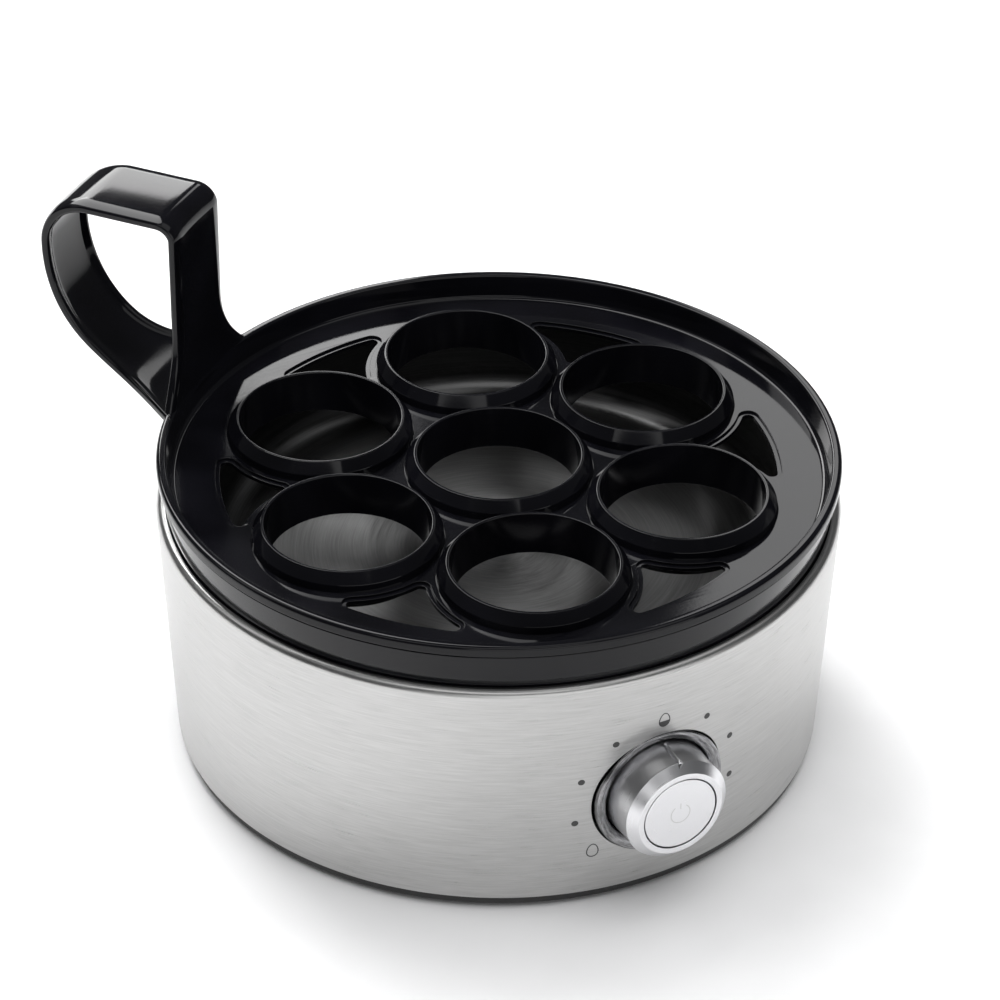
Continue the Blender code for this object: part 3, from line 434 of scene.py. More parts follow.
brushed_wall = brushed("brushed_wall", (0.435, 0.433, 0.428), (0.55, 0.548, 0.542), 0.26, 0.38)
# The dish's grey is far darker than the steel's own colour: it is painted shade for the dark under the tray.
painted_shade_dish = brushed("painted_shade_dish", grey(0.09), grey(0.14), 0.28, 0.38, "Z", 3200.0, 3.0, 0.000002)
satin_metal = brushed("satin_metal", grey(0.75, 0.02), grey(0.77, 0.02), 0.27, 0.30, "Y",
                      5200.0, 1.5, 0.0000002, 0.3)
# The bezel's colour runs in streaks from near black to mid grey. The streaks follow the brushing, and their
# depth and the dark overall tone are painted reflection of the dark surroundings the ring mirrors.
chrome = brushed("chrome", grey(0.08, 0.02), grey(0.42, 0.02), 0.14, 0.26, "Y", 1800.0, 5.0, 0.000004, 0.5)
plated_steel = plated("plated_steel", grey(0.50), grey(0.60), 0.26, 0.40)
aluminium = plated("aluminium", grey(0.62, 0.01), grey(0.72, 0.01), 0.34, 0.46)
print("metals ready")

# %% [markdown]
# ### Finishes for the solids that stay
# The pieces inside the body keep their plain solids, because nobody sees them closely. Each still
# gets its own finish, named by the record's material slot.

# %% Finishes on the kept solids
slot_finishes = {
    "brushed_steel": brushed_wall, "gloss_black": gloss_black, "satin_black": satin_black,
    "rubber": rubber, "satin_metal": satin_metal, "chrome": chrome, "plated_steel": plated_steel,
    "silicone": silicone, "aluminium": aluminium, "circuit_board": circuit_board,
    "grey_plastic": grey_plastic, "blue_plastic": blue_plastic, "ceramic": ceramic,
    "brown_insulation": brown_insulation, "blue_insulation": blue_insulation,
}
node_slots = {part["node"]: part["material_slot"] for part in frame["record"]["subparts"]}
for node, solid in frame["nodes"].items():
    for holder in solid.material_slots:
        holder.material = slot_finishes[node_slots[node]]
print(len(frame["nodes"]), "solids have their finish")

# %% [markdown]
# ## The steel wall
# The wall is one tapered sheet, rolled in at the top. The roll is a quarter round that turns the
# light into a bright line under the black band. The sheet has a hole for the knob's bezel and one
# at the back for the cord's gland.

# %% Steel wall
sheet = 0.0007
shoulder = 0.0022
taper = math.radians(2.95)
wall_top = wall_high.z - shoulder
wall_foot_radius = wall_radius - (wall_top - wall_low.z) * math.tan(taper)
mouth = wall_radius - shoulder


def wall_radius_at(height):
    """The outer radius of the tapered wall at a height."""
    return wall_foot_radius + (height - wall_low.z) * math.tan(taper)


def quarter(radius, start, stop, steps=10):
    """Points of the shoulder's roll between two angles, where 90 is straight up and 0 straight out."""
    points = []
    for step in range(steps + 1):
        angle = math.radians(start + (stop - start) * step / steps)
        points.append((mouth + radius * math.cos(angle), wall_top + radius * math.sin(angle)))
    return points


rings = 24
heights = [wall_top + (wall_low.z - wall_top) * i / rings for i in range(1, rings + 1)]
outer = [(wall_radius_at(height), height) for height in heights]
inner = [(radius - sheet, height) for radius, height in reversed(outer)]
outline = quarter(shoulder, 90, 0) + outer + inner + quarter(shoulder - sheet, 0, 90, 6)
form = bmesh.new()
add_turned(form, outline, 256)
wall = finish_mesh(form, "steel_wall", 35)


# %% The wall's two holes
def cutter(name, radius, start, stop, place, steps=96):
    """A hidden round tool for a Boolean, removed once it has cut."""
    form = bmesh.new()
    bmesh.ops.create_cone(form, cap_ends=True, segments=steps, radius1=radius, radius2=radius,
                          depth=stop - start, matrix=place @ Matrix.Translation((0, 0, (start + stop) / 2)))
    return as_object(form, name)


def cut(piece, *tools):
    """Cuts the tools out of the piece for good, and clears them away."""
    kept = [modifier.name for modifier in piece.modifiers]
    for tool in tools:
        step = piece.modifiers.new("Cut", "BOOLEAN")
        step.operation = "DIFFERENCE"
        step.object = tool
    for name in kept:
        piece.modifiers[name].show_viewport = False
    bpy.context.view_layer.update()
    seen = piece.evaluated_get(bpy.context.evaluated_depsgraph_get())
    piece.data = bpy.data.meshes.new_from_object(seen)
    for modifier in list(piece.modifiers):
        if modifier.name in kept:
            modifier.show_viewport = True
        else:
            piece.modifiers.remove(modifier)
    for tool in tools:
        bpy.data.objects.remove(tool, do_unlink=True)


bezel_radius = radius_of("dial_bezel")
bezel_gap = 0.0005
gland_hole = 0.0051
cut_start, cut_stop = 0.06, 0.10
gland_low, gland_high = spans("cord_gland")
gland_height = (gland_low.z + gland_high.z) / 2
gland_place = Matrix.Translation((0, 0, gland_height)) @ Matrix.Rotation(math.radians(-90), 4, "X")
cut(wall, cutter("knob_hole", bezel_radius + bezel_gap, cut_start, cut_stop, knob_place),
    cutter("gland_hole", gland_hole, cut_start, cut_stop, gland_place, 48))
belongs(wall, brushed_wall, "base", "brushed_steel", "housing_shell")

# %% [markdown]
# ## The base
# Under the steel, the black base shows as a ring 2.4 mm high, set in a little. Its underside is a
# flat plate with counterbored screw holes and a pocket for each rubber foot.

# %% Base plate
lip_top = wall_low.z + 0.0049
plate_floor = base_low.z + 0.0020
ring_top = wall_low.z - 0.0002
upstand = wall_foot_radius - sheet - 0.0004
upstand_inner = upstand - 0.0022
base = turned("base_ring", [
    (0, plate_floor, 0), (upstand_inner, plate_floor, 0.0004), (upstand_inner, lip_top, 0.0003),
    (upstand, lip_top, 0.0003), (upstand, ring_top, 0.0002), (base_radius, ring_top, 0.0004),
    (base_radius, base_low.z, 0.0006), (0, base_low.z, 0),
], 192)
foot_nodes = sorted(node for node in frame["nodes"] if node.startswith("foot_"))
screw_nodes = sorted(node for node in frame["nodes"] if node.startswith("base_screw_"))
round_gap = 0.0004
below_ground = -0.001
pocket_gap = 0.0002
bore_top = plate_floor + 0.0006
tools = [cutter("pocket", radius_of(node) + round_gap, below_ground, spans(node)[1].z + pocket_gap,
                under(node), 64) for node in foot_nodes]
tools += [cutter("bore", radius_of(node) + round_gap, below_ground, bore_top, under(node), 48)
          for node in screw_nodes]
cut(base, *tools)
belongs(base, satin_black, "base", "satin_black", "base_plate")

# %% Rubber feet
hollow = 0.0004
for node in foot_nodes:
    radius, top = radius_of(node), spans(node)[1].z
    foot = turned("rubber_" + node, [
        (0, top, 0), (radius, top, 0.0002), (radius, 0, 0.0006),
        (radius - 0.0012, 0, 0.0001), (radius - 0.0016, hollow, 0.0001), (0, hollow, 0),
    ], 72, under(node))
    belongs(foot, rubber, "base", "rubber", node)

# %% [markdown]
# ## The black band
# The band is a polished black moulding between the steel and the tray. It is a little wider at the
# top. Its lower edge disappears inside the steel's roll, with a fine dark gap between them.

# %% Black band
band_top = band_high.z
band_foot_radius = band_radius - 0.0017
skirt = mouth - 0.0005
skirt_inner = skirt - 0.0018
ledge = band_top - 0.0086
ledge_under = ledge - 0.0026
ledge_inner, ledge_outer = 0.0753, 0.0823
skirt_foot = ledge - 0.0085
band = turned("black_band", [
    (band_radius, band_top, 0.00035), (band_foot_radius, wall_high.z + 0.0002, 0.0003),
    (skirt, wall_high.z - 0.0006, 0.0003), (skirt, skirt_foot, 0.0003),
    (skirt_inner, skirt_foot, 0.0003), (skirt_inner, ledge_under, 0.0003),
    (ledge_inner, ledge_under, 0.0003), (ledge_inner, ledge, 0.0003), (ledge_outer, ledge, 0.0003),
    (ledge_outer, tray_high.z - 0.0084, 0.0002), (band_radius - 0.0014, band_top, 0.0002),
], 256)
belongs(band, gloss_black, "base", "gloss_black", "collar_ring")

# %% [markdown]
# ## The water dish
# The dish is spun steel with a wide flat floor and a round corner. It is seen through the cups and
# the vents, where its rings of brushing catch the light. Its steel is painted much darker than the
# wall's, as painted shade for the dark under the tray.

# %% Water dish
dish_radius = 0.0749
dish_sheet = 0.0008
dish_inner = dish_radius - dish_sheet
dish_floor = dish_low.z + dish_sheet
dish_flange = radius_of("heating_dish")
flange_under = dish_high.z - dish_sheet
dish = turned("water_dish", [
    (0, dish_floor, 0), (dish_inner, dish_floor, 0.0085),
    (dish_inner, dish_high.z, 0.0012), (dish_flange, dish_high.z, 0.0002),
    (dish_flange, flange_under, 0.0002), (dish_radius, flange_under, 0.0004),
    (dish_radius, dish_low.z, 0.0093), (0, dish_low.z, 0),
], 192, rounding_steps=10)
belongs(dish, painted_shade_dish, "base", "brushed_steel", "heating_dish")

# %% [markdown]
# ## The tray
# The tray is a shallow pan with a rolled lip, and it holds seven raised cups. It is built from
# closed forms that overlap a little, as clay is joined: a floor plate cut through by the cups and
# the vents, a turned rim, and one turned collar for each cup. Each form has its own rounded edges.

# %% Tray sizes
cup_bearing = -17.5
cup_radius = 0.0206
cup_pitch = 0.04843
tray_floor = rim_top - 0.0065
floor_sheet = 0.0016
tray_under = tray_floor - floor_sheet
cup_top = tray_floor + 0.0045
pan_radius = lip_radius - 0.0025
lip_foot = band_top + 0.0003
vent_reach = 0.0702
vent_middle = 0.064
vent_to_cup = 0.0264


def at_bearing(bearing, radius, height=0.0):
    """The point at this bearing, in degrees from -Y towards +X, and distance from the axis."""
    angle = math.radians(bearing)
    return Vector((radius * math.sin(angle), -radius * math.cos(angle), height))


cup_centres = [Vector((0, 0, 0))] + [at_bearing(cup_bearing + 60 * i, cup_pitch) for i in range(6)]
print(len(cup_centres), "cups on a ring of", round(cup_pitch * 2000, 1), "mm")

# %% [markdown]
# ### Vents
# A vent is the space that two neighbouring cups leave inside the rim: two arcs that follow the
# cups, one arc that follows the rim, and three small rounds in the corners. Each round touches the
# two arcs beside it, so its centre is found where two larger circles cross. A shallow step runs
# round the opening.

# %% Vent outline
def crossing(first, first_radius, second, second_radius, towards):
    """Where two circles cross, on the side nearer to a point."""
    gap = second - first
    along = (gap.length_squared + first_radius**2 - second_radius**2) / (2 * gap.length)
    off = math.sqrt(max(0.0, first_radius**2 - along**2))
    unit = gap.normalized()
    across = Vector((-unit.y, unit.x))
    options = [first + unit * along + across * off, first + unit * along - across * off]
    return min(options, key=lambda point: (point - towards).length)


def arc_between(centre, start, stop, steps):
    """Points of the shorter arc round a centre from one point to another, without the last."""
    one, other = start - centre, stop - centre
    sweep = -one.angle_signed(other)
    return [centre + Matrix.Rotation(sweep * i / steps, 2) @ one for i in range(steps)]


def vent_outline(bearing, grow, corner=0.0015):
    """The rounded three-sided outline of one vent, pushed out by grow on every side."""
    left = at_bearing(bearing - 30, cup_pitch).xy
    right = at_bearing(bearing + 30, cup_pitch).xy
    reach, keep = vent_reach + grow, vent_to_cup - grow
    size = corner + grow
    middle = at_bearing(bearing, vent_middle).xy
    centre = Vector((0, 0))
    inner = crossing(left, keep + size, right, keep + size, middle)
    near_left = crossing(centre, reach - size, left, keep + size, middle + (left - right) * 0.4)
    near_right = crossing(centre, reach - size, right, keep + size, middle + (right - left) * 0.4)

    def on_cup(spot, cup):
        return cup + (spot - cup).normalized() * keep

    def on_rim(spot):
        return spot.normalized() * reach

    points = arc_between(left, on_cup(inner, left), on_cup(near_left, left), 10)
    points += arc_between(near_left, on_cup(near_left, left), on_rim(near_left), 8)
    points += arc_between(centre, on_rim(near_left), on_rim(near_right), 14)
    points += arc_between(near_right, on_rim(near_right), on_cup(near_right, right), 8)
    points += arc_between(right, on_cup(near_right, right), on_cup(inner, right), 10)
    points += arc_between(inner, on_cup(inner, right), on_cup(inner, left), 8)
    return points


# %% Flat plates
def circle(centre, radius, steps):
    """Points round a circle."""
    return [Vector((centre.x + radius * math.cos(2 * math.pi * i / steps),
                    centre.y + radius * math.sin(2 * math.pi * i / steps))) for i in range(steps)]


def plate(name, outlines, bottom, top, bevel=0.0):
    """A flat plate between two heights. The first outline is its edge and the others are holes."""
    curve = bpy.data.curves.new(name, "CURVE")
    curve.dimensions = "2D"
    curve.fill_mode = "BOTH"
    curve.extrude = (top - bottom) / 2 - bevel
    curve.bevel_depth = bevel
    curve.bevel_resolution = 2
    curve.offset = -bevel
    for outline in outlines:
        line = curve.splines.new("POLY")
        line.points.add(len(outline) - 1)
        line.use_cyclic_u = True
        for spot, point in zip(line.points, outline):
            spot.co = (point.x, point.y, 0, 1)
    shape = bpy.data.objects.new(name, curve)
    bpy.context.scene.collection.objects.link(shape)
    bpy.context.view_layer.update()
    seen = shape.evaluated_get(bpy.context.evaluated_depsgraph_get())
    mesh = bpy.data.meshes.new_from_object(seen)
    mesh.transform(Matrix.Translation((0, 0, (bottom + top) / 2)))
    bpy.data.objects.remove(shape, do_unlink=True)
    form = bmesh.new()
    form.from_mesh(mesh)
    bpy.data.meshes.remove(mesh)
    bmesh.ops.remove_doubles(form, verts=form.verts, dist=1e-6)
    return form


# %% The tray's forms
step_depth, step_width = 0.0006, 0.0011
edge_bevel = 0.00012
overlap = 0.00001
plate_radius = pan_radius - 0.0022
cup_wall = 0.0010
rim_edge = circle(Vector((0, 0)), plate_radius, 192)
cup_holes = [circle(centre, cup_radius + cup_wall, 72) for centre in cup_centres]
vent_bearings = [cup_bearing + 30 + 60 * i for i in range(6)]
upper = plate("upper", [rim_edge] + cup_holes + [vent_outline(b, step_width) for b in vent_bearings],
              tray_floor - step_depth, tray_floor, edge_bevel)
lower = plate("lower", [rim_edge] + cup_holes + [vent_outline(b, 0.0) for b in vent_bearings],
              tray_under, tray_floor - step_depth + overlap, edge_bevel)

form = bmesh.new()
for part in (upper, lower):
    mesh = bpy.data.meshes.new("part")
    part.to_mesh(mesh)
    form.from_mesh(mesh)
    bpy.data.meshes.remove(mesh)
    part.free()

# The rim's inner corner lies just under the plate's top, so the two never share a surface.
rim_inner = pan_radius - 0.0034
add_turned(form, rounded([
    (rim_inner, tray_floor - 0.0001, 0), (pan_radius - 0.0012, tray_floor, 0.0022),
    (pan_radius, rim_top, 0.0007), (lip_radius, rim_top, 0.0011), (lip_radius, lip_foot, 0.0003),
    (band_radius - 0.0017, lip_foot, 0.0002), (band_radius - 0.0034, tray_under, 0.0004),
    (rim_inner, tray_under, 0),
], 6), 256)
collar_foot = cup_radius + 0.0033
collar = [
    (cup_radius, cup_top, 0.0003), (cup_radius + 0.0008, cup_top, 0.0003),
    (cup_radius + 0.0029, tray_floor + 0.0018, 0.0007), (collar_foot, tray_floor, 0.0),
    (collar_foot, tray_floor - 0.0008, 0), (cup_radius + cup_wall, tray_under, 0.0004),
    (cup_radius, tray_low.z, 0.0003), (cup_radius - cup_wall, tray_low.z, 0.0003),
]
for centre in cup_centres:
    add_turned(form, rounded(collar, 5), 96, Matrix.Translation(centre))
tray = finish_mesh(form, "cup_tray", 35)
belongs(tray, gloss_black, "tray", "gloss_black", "egg_tray")

# %% [markdown]
# ## The handle
# The handle is a wide strap that rises straight from the lip, turns a tight corner, runs flat, and
# comes back round a wide corner in one long sweep. The strap is crowned in the middle and has a
# fine bead along each edge. At the lip both sides flare out and follow the rim's curve. It is
# lofted: one cross-section is carried along the path, widened and bent as it goes.

# %% Handle path
handle_bearing = math.radians(-141.0)
strap = 0.0022
post_radius = pan_radius - 0.0002 + strap / 2
handle_top = handle_high.z - strap / 2
handle_reach = 0.1234 - strap / 2
half_width = 0.0121
end_half_width = 0.0108
flare_foot = rim_top - 0.0015
post_flare, post_flare_height = 0.0105, 0.0200
end_flare, end_flare_reach = 0.0118, 0.0260
sweep_pull = 0.60


def flare(size, share):
    """Extra half width where the strap meets the rim, fading out as the share grows to 1."""
    return size * max(0.0, 1 - share) ** 2.2


def strap_path():
    """Stations along the strap: radius, height, half width, share of the rim's curve."""
    stations = []
    inner_corner, outer_corner = 0.0045, 0.0145
    run_start, run_stop = post_radius + inner_corner, handle_reach - outer_corner
    inner_height, outer_height = handle_top - inner_corner, handle_top - outer_corner
    for i in range(30):
        height = flare_foot + (inner_height - flare_foot) * i / 30
        extra = flare(post_flare, (height - flare_foot) / post_flare_height)
        stations.append((post_radius, height, half_width + extra, 1.0))
    for i in range(13):
        angle = math.radians(180 - 90 * i / 12)
        stations.append((post_radius + inner_corner * (1 + math.cos(angle)),
                         inner_height + inner_corner * math.sin(angle), half_width, 1 - i / 12))
    for i in range(1, 12):
        stations.append((run_start + (run_stop - run_start) * i / 12, handle_top, half_width, 0.0))
    for i in range(25):
        angle = math.radians(90 - 90 * i / 24)
        width = half_width + (end_half_width - half_width) * i / 24
        stations.append((run_stop + outer_corner * math.cos(angle),
                         outer_height + outer_corner * math.sin(angle), width, 0.0))
    start = Vector((handle_reach, outer_height))
    end = Vector((lip_radius - 0.0008, lip_foot + 0.0009))
    first = start - Vector((0, sweep_pull * (start.y - end.y)))
    second = Vector((end.x + sweep_pull * (start.x - end.x), end.y + 0.0011))
    for i in range(1, 41):
        t = i / 40
        spot = start * (1 - t)**3 + first * 3 * t * (1 - t)**2 + second * 3 * t**2 * (1 - t) + end * t**3
        extra = flare(end_flare, (spot.x - end.x) / end_flare_reach)
        stations.append((spot.x, spot.y, end_half_width + extra, t**2))
    return stations


# %% Handle section
def quarter_fall(share):
    """How far a rounded edge has fallen: 1 at the edge itself, and 0 where the flat begins."""
    return 1 - math.sqrt(max(0.0, 1 - max(0.0, 1 - share) ** 2))


def strap_section(half):
    """The strap's cross-section: place across it, and the heights of its outer and inner faces."""
    rows = []
    shoulder_width, shoulder_drop, edge_rounding = 0.0036, 0.0007, 0.0005
    crown, bead_width, bead_depth, bead_place = 0.0003, 0.0016, 0.0008, 0.0011
    places = [0.0, 0.35, 0.55, 0.66]
    places += [1 - (shoulder_width - (shoulder_width - edge_rounding) * i / 8) / half for i in range(9)]
    places += [1 - (edge_rounding / half) * (1 - math.sin(math.radians(15 * i))) for i in range(1, 7)]
    places = [-share for share in reversed(places[1:])] + places
    for share in places:
        side = share * half
        from_edge = half - abs(side)
        outer = strap / 2 - crown * share**2
        inner = -strap / 2 - bead_depth * math.exp(-((from_edge - bead_place) / bead_width) ** 2)
        outer -= shoulder_drop * max(0.0, 1 - from_edge / shoulder_width) ** 2
        outer -= edge_rounding * quarter_fall(from_edge / edge_rounding)
        inner += edge_rounding * quarter_fall(from_edge / edge_rounding)
        rows.append((side, outer, min(inner, outer - 0.0002)))
    return rows


# %% Handle
form = bmesh.new()
stations = strap_path()
loops = []
for i, (radius, height, half, bend) in enumerate(stations):
    before = Vector(stations[max(0, i - 1)][:2])
    after = Vector(stations[min(len(stations) - 1, i + 1)][:2])
    ahead = (after - before).normalized()
    out = Vector((ahead.y, -ahead.x))
    rows = strap_section(half)
    loop = []
    for side, face in [(row[0], row[1]) for row in rows] + [(row[0], row[2]) for row in reversed(rows)]:
        spot = Vector((radius, height)) - out * face
        drop = bend * (radius - math.sqrt(max(0.0, radius**2 - side**2)))
        loop.append(form.verts.new((side, -(spot.x - drop), spot.y)))
    loops.append(loop)
join_loops(form, loops)
bmesh.ops.transform(form, matrix=Matrix.Rotation(handle_bearing, 4, "Z"), verts=form.verts)
handle = finish_mesh(form, "loop_handle", 50)
belongs(handle, gloss_black, "tray", "gloss_black", "tray_handle")

# %% [markdown]
# ## The knob
# The knob is a plated cap with a plain barrel and a bright collar. The collar starts at a crisp
# ridge and narrows towards the face. A low rib runs along the barrel and stops in a notch in the
# ridge: that is the pointer. A flat disc in the face is the button.

# %% Knob
knob_radius = radius_of("knob")
knob_front = -knob_low.y
knob_back = -knob_high.y
barrel = knob_radius - 0.0003
ridge = knob_front - 0.0024
face_radius = 0.0115
button_radius = radius_of("knob_button")
button_front = -button_low.y
button_bore = button_radius + 0.0003
cap_sheet = 0.0013
hub, hub_bore = 0.00515, 0.00335
web = knob_front - 0.0061
web_back = web - cap_sheet
seat = wall_radius_at(knob_height) - 0.0030
barrel_foot = barrel + 0.0005
form = bmesh.new()
add_turned(form, rounded([
    (button_bore, knob_front, 0.00015), (face_radius, knob_front, 0.0004),
    (knob_radius, ridge + 0.0002, 0.00018), (knob_radius, ridge - 0.0001, 0.00012),
    (barrel, ridge - 0.0004, 0.0002), (barrel_foot, seat, 0.0010), (barrel, knob_back, 0.0004),
    (barrel - cap_sheet, knob_back, 0.0002), (barrel - cap_sheet, web_back, 0.0003),
    (hub, web_back, 0.0003), (hub, knob_back, 0.0003), (hub_bore, knob_back, 0.0002),
    (hub_bore, web, 0.0002), (button_bore, web, 0.0002),
], 5), 160, knob_place)
knob = finish_mesh(form, "knob_cap", 35)

# The notch is cut by a three-sided bar whose point looks inwards.
pointer_turn = Matrix.Rotation(math.radians(-3.0), 4, "Z")
notch_size, notch_length = 0.0017, 0.0026
notch_place = knob_place @ pointer_turn @ Matrix.Translation((0, knob_radius + 0.00035, ridge + 0.0003))
form = bmesh.new()
bmesh.ops.create_cone(form, cap_ends=True, segments=3, radius1=notch_size, radius2=notch_size,
                      depth=notch_length, matrix=notch_place @ Matrix.Rotation(math.radians(-90), 4, "Z"))
cut(knob, as_object(form, "notch"))
belongs(knob, satin_metal, "knob", "satin_metal", "knob")

# %% Pointer rib
form = bmesh.new()
rib_half, rib_rise = 0.0007, 0.0008
rib_start, rib_stop = -bezel_low.y - 0.0004, ridge + 0.0002
section = [(-1.0, -0.3), (-0.8, 0.35), (-0.35, 0.9), (0.0, 1.0), (0.35, 0.9), (0.8, 0.35), (1.0, -0.3)]
loops = []
for share in [0.0, 0.03, 0.08] + [0.1 * i for i in range(1, 10)] + [0.94, 1.0]:
    rise = rib_rise * min(1.0, 0.25 + share * 12) * min(1.0, 0.4 + (1 - share) * 6)
    along = rib_start + (rib_stop - rib_start) * share
    foot = barrel_foot + (barrel - barrel_foot) * (along - seat) / (ridge - seat)
    loops.append([form.verts.new(knob_place @ pointer_turn @ Vector((rib_half * x, foot + rise * y, along)))
                  for x, y in section])
join_loops(form, loops)
rib = finish_mesh(form, "pointer_rib", 60)
belongs(rib, satin_metal, "knob", "satin_metal")

# %% [markdown]
# ### The push button
# The button is a flat disc with a fine edge. Its power sign is a thin ring that is open at the top,
# with a short bar in the opening. It is printed, so it stands only a hair proud of the metal.

# %% Button
boss, stem = 0.0026, 0.0015
button_back = button_front - 0.0020
stem_back = -button_high.y
button = turned("button_disc", [
    (0, button_front, 0), (button_radius, button_front, 0.00025), (button_radius, button_back, 0.0002),
    (boss, button_back, 0.0003), (stem, button_back - 0.0012, 0.0003), (stem, stem_back, 0.0002),
    (0, stem_back, 0),
], 128, knob_place)
belongs(button, satin_metal, "button", "satin_metal", "knob_button")


# %% Power sign
def ribbon(form, path, width, thick, place):
    """A thin flat line along a path of (x, y), standing a little proud of z = 0."""
    rows = []
    for i, point in enumerate(path):
        before, after = path[max(0, i - 1)], path[min(len(path) - 1, i + 1)]
        ahead = (after - before).normalized()
        side = Vector((-ahead.y, ahead.x)) * width / 2
        low = [Vector((*(point + side), -thick)), Vector((*(point - side), -thick))]
        high = [Vector((*(point - side), thick)), Vector((*(point + side), thick))]
        rows.append([form.verts.new(place @ spot) for spot in low + high])
    join_loops(form, rows)


form = bmesh.new()
face_place = knob_place @ Matrix.Translation((0, 0, button_front))
sign_radius = 0.0026
sign_line, sign_proud = 0.00028, 0.000012
sweep = [Vector((sign_radius * math.sin(math.radians(a)), sign_radius * math.cos(math.radians(a))))
         for a in range(35, 326, 5)]
ribbon(form, sweep, sign_line, sign_proud, face_place)
ribbon(form, [Vector((0, 0.0014)), Vector((0, 0.0031))], sign_line, sign_proud, face_place)
sign = finish_mesh(form, "power_sign", 30)
sign_finish = plated("sign_metal", grey(0.60), grey(0.66), 0.30, 0.36)
belongs(sign, sign_finish, "button", "satin_metal")

# %% [markdown]
# ### Bezel and recess
# Round the knob the steel opens into a dished, bright ring. A dark line lies between the ring and
# the wall, and a dark gap between the ring and the knob. Behind it sits the black recess cup.

# %% Bezel
bezel_front = -bezel_low.y
bezel_back = -bezel_high.y
bezel_inner = barrel_foot + 0.0002
bowl_mouth = bezel_radius - 0.0007
bowl_width, bowl_depth = bowl_mouth - bezel_inner, 0.0018
bowl = []
for step in range(1, 12):
    angle = math.radians(90 * step / 12)
    bowl.append((bezel_inner + bowl_width * (1 - math.cos(angle)),
                 bezel_front - bowl_depth * (1 - math.sin(angle)), 0))
form = bmesh.new()
add_turned(form, rounded([
    (bezel_radius, bezel_front - 0.0004, 0.0003), (bezel_radius, bezel_back, 0.0002),
    (bezel_inner, bezel_back, 0.0002), (bezel_inner, bezel_front - bowl_depth, 0.0002), *bowl,
    (bowl_mouth, bezel_front - 0.0001, 0.0002), (bezel_radius - 0.0004, bezel_front, 0.0002),
], 5), 160, knob_place)
bezel = finish_mesh(form, "dial_ring", 35)
# Its chrome finish carries painted reflection: dark and light streaks in its colour.
belongs(bezel, chrome, "base", "chrome", "dial_bezel")

# %% Recess cup
flange = radius_of("dial_recess")
recess_sheet = 0.0016
recess_front = -recess_low.y
recess_back = recess_front - 0.0110
recess_bore = barrel + 0.0008
recess_outer = recess_bore + recess_sheet
sensor_hole = 0.0046
recess = turned("recess_cup", [
    (flange, recess_front, 0.0003), (flange, recess_front - recess_sheet, 0.0003),
    (recess_outer, recess_front - recess_sheet, 0.0003), (recess_outer, recess_back - recess_sheet, 0.0004),
    (sensor_hole, recess_back - recess_sheet, 0.0002), (sensor_hole, recess_back, 0.0002),
    (recess_bore, recess_back, 0.0005), (recess_bore, recess_front, 0.0003),
], 96, knob_place)

# Two hollow pegs behind the flange take the board's screws.
peg_offset = flange - 0.0030
peg_front, peg_back = recess_front - 0.0008, -recess_high.y
peg_bore, peg_radius = 0.0014, 0.0026
form = bmesh.new()
form.from_mesh(recess.data)
for side in (-1, 1):
    add_turned(form, rounded([
        (peg_bore, peg_back, 0.0001), (peg_bore, peg_front, 0), (peg_radius, peg_front, 0),
        (peg_radius, peg_back, 0.0002),
    ], 3), 48, knob_place @ Matrix.Translation((side * peg_offset, 0, 0)))
bmesh.ops.recalc_face_normals(form, faces=form.faces)
form.to_mesh(recess.data)
form.free()
belongs(recess, satin_black, "base", "satin_black", "dial_recess")

# %% [markdown]
# ## The dial's marks
# The marks are printed on the steel: dots, and three egg signs that run from an empty egg to a full
# one. Each is a thin patch of ink, and all of them share one mesh. Their points are laid on the wall's
# cone, so the print follows the curve.

# %% Printed marks
ink = moulded("printed_ink", grey(0.030), grey(0.045), 0.45, 0.60, 0.000002)
mark_circle = 0.0221


def on_wall(x, y, lift):
    """The point on the wall straight behind (x, y), measured from the knob's axis."""
    height = knob_height + y
    radius = wall_radius_at(height) + lift
    return Vector((x, -math.sqrt(radius**2 - x**2), height))


def patch(form, rings, lift=0.00003):
    """A thin printed patch through rings of points that run from the outside in."""
    layers = []
    for offset in (lift, -0.00005):
        layers.append([[form.verts.new(on_wall(p.x, p.y, offset)) for p in ring] for ring in rings])
    for layer in layers:
        for one, other in zip(layer, layer[1:]):
            join_pair(form, one, other)
    join_pair(form, layers[0][0], layers[1][0])
    return layers


def solid_patch(form, ring):
    """A filled printed shape."""
    middle = sum(ring, Vector((0, 0))) / len(ring)
    rings = [[middle + (p - middle) * share for p in ring] for share in (1.0, 0.6, 0.25)]
    for layer in patch(form, rings):
        form.faces.new(layer[-1])


def line_patch(form, ring, width):
    """A printed line round a shape."""
    middle = sum(ring, Vector((0, 0))) / len(ring)
    inside = [p - (p - middle).normalized() * width for p in ring]
    front, back = patch(form, [ring, inside])
    join_pair(form, front[-1], back[-1])


def egg(centre, length, width, steps=40):
    """An upright egg's outline, with its wide end down."""
    points = []
    for i in range(steps):
        angle = 2 * math.pi * i / steps
        y = length / 2 * math.cos(angle)
        x = width / 2 * math.sin(angle) * (1 - 0.16 * math.cos(angle))
        points.append(centre + Vector((x, y)))
    return points


def mark_place(degrees):
    """The centre of a mark, clockwise from the top."""
    angle = math.radians(degrees)
    return Vector((mark_circle * math.sin(angle), mark_circle * math.cos(angle)))


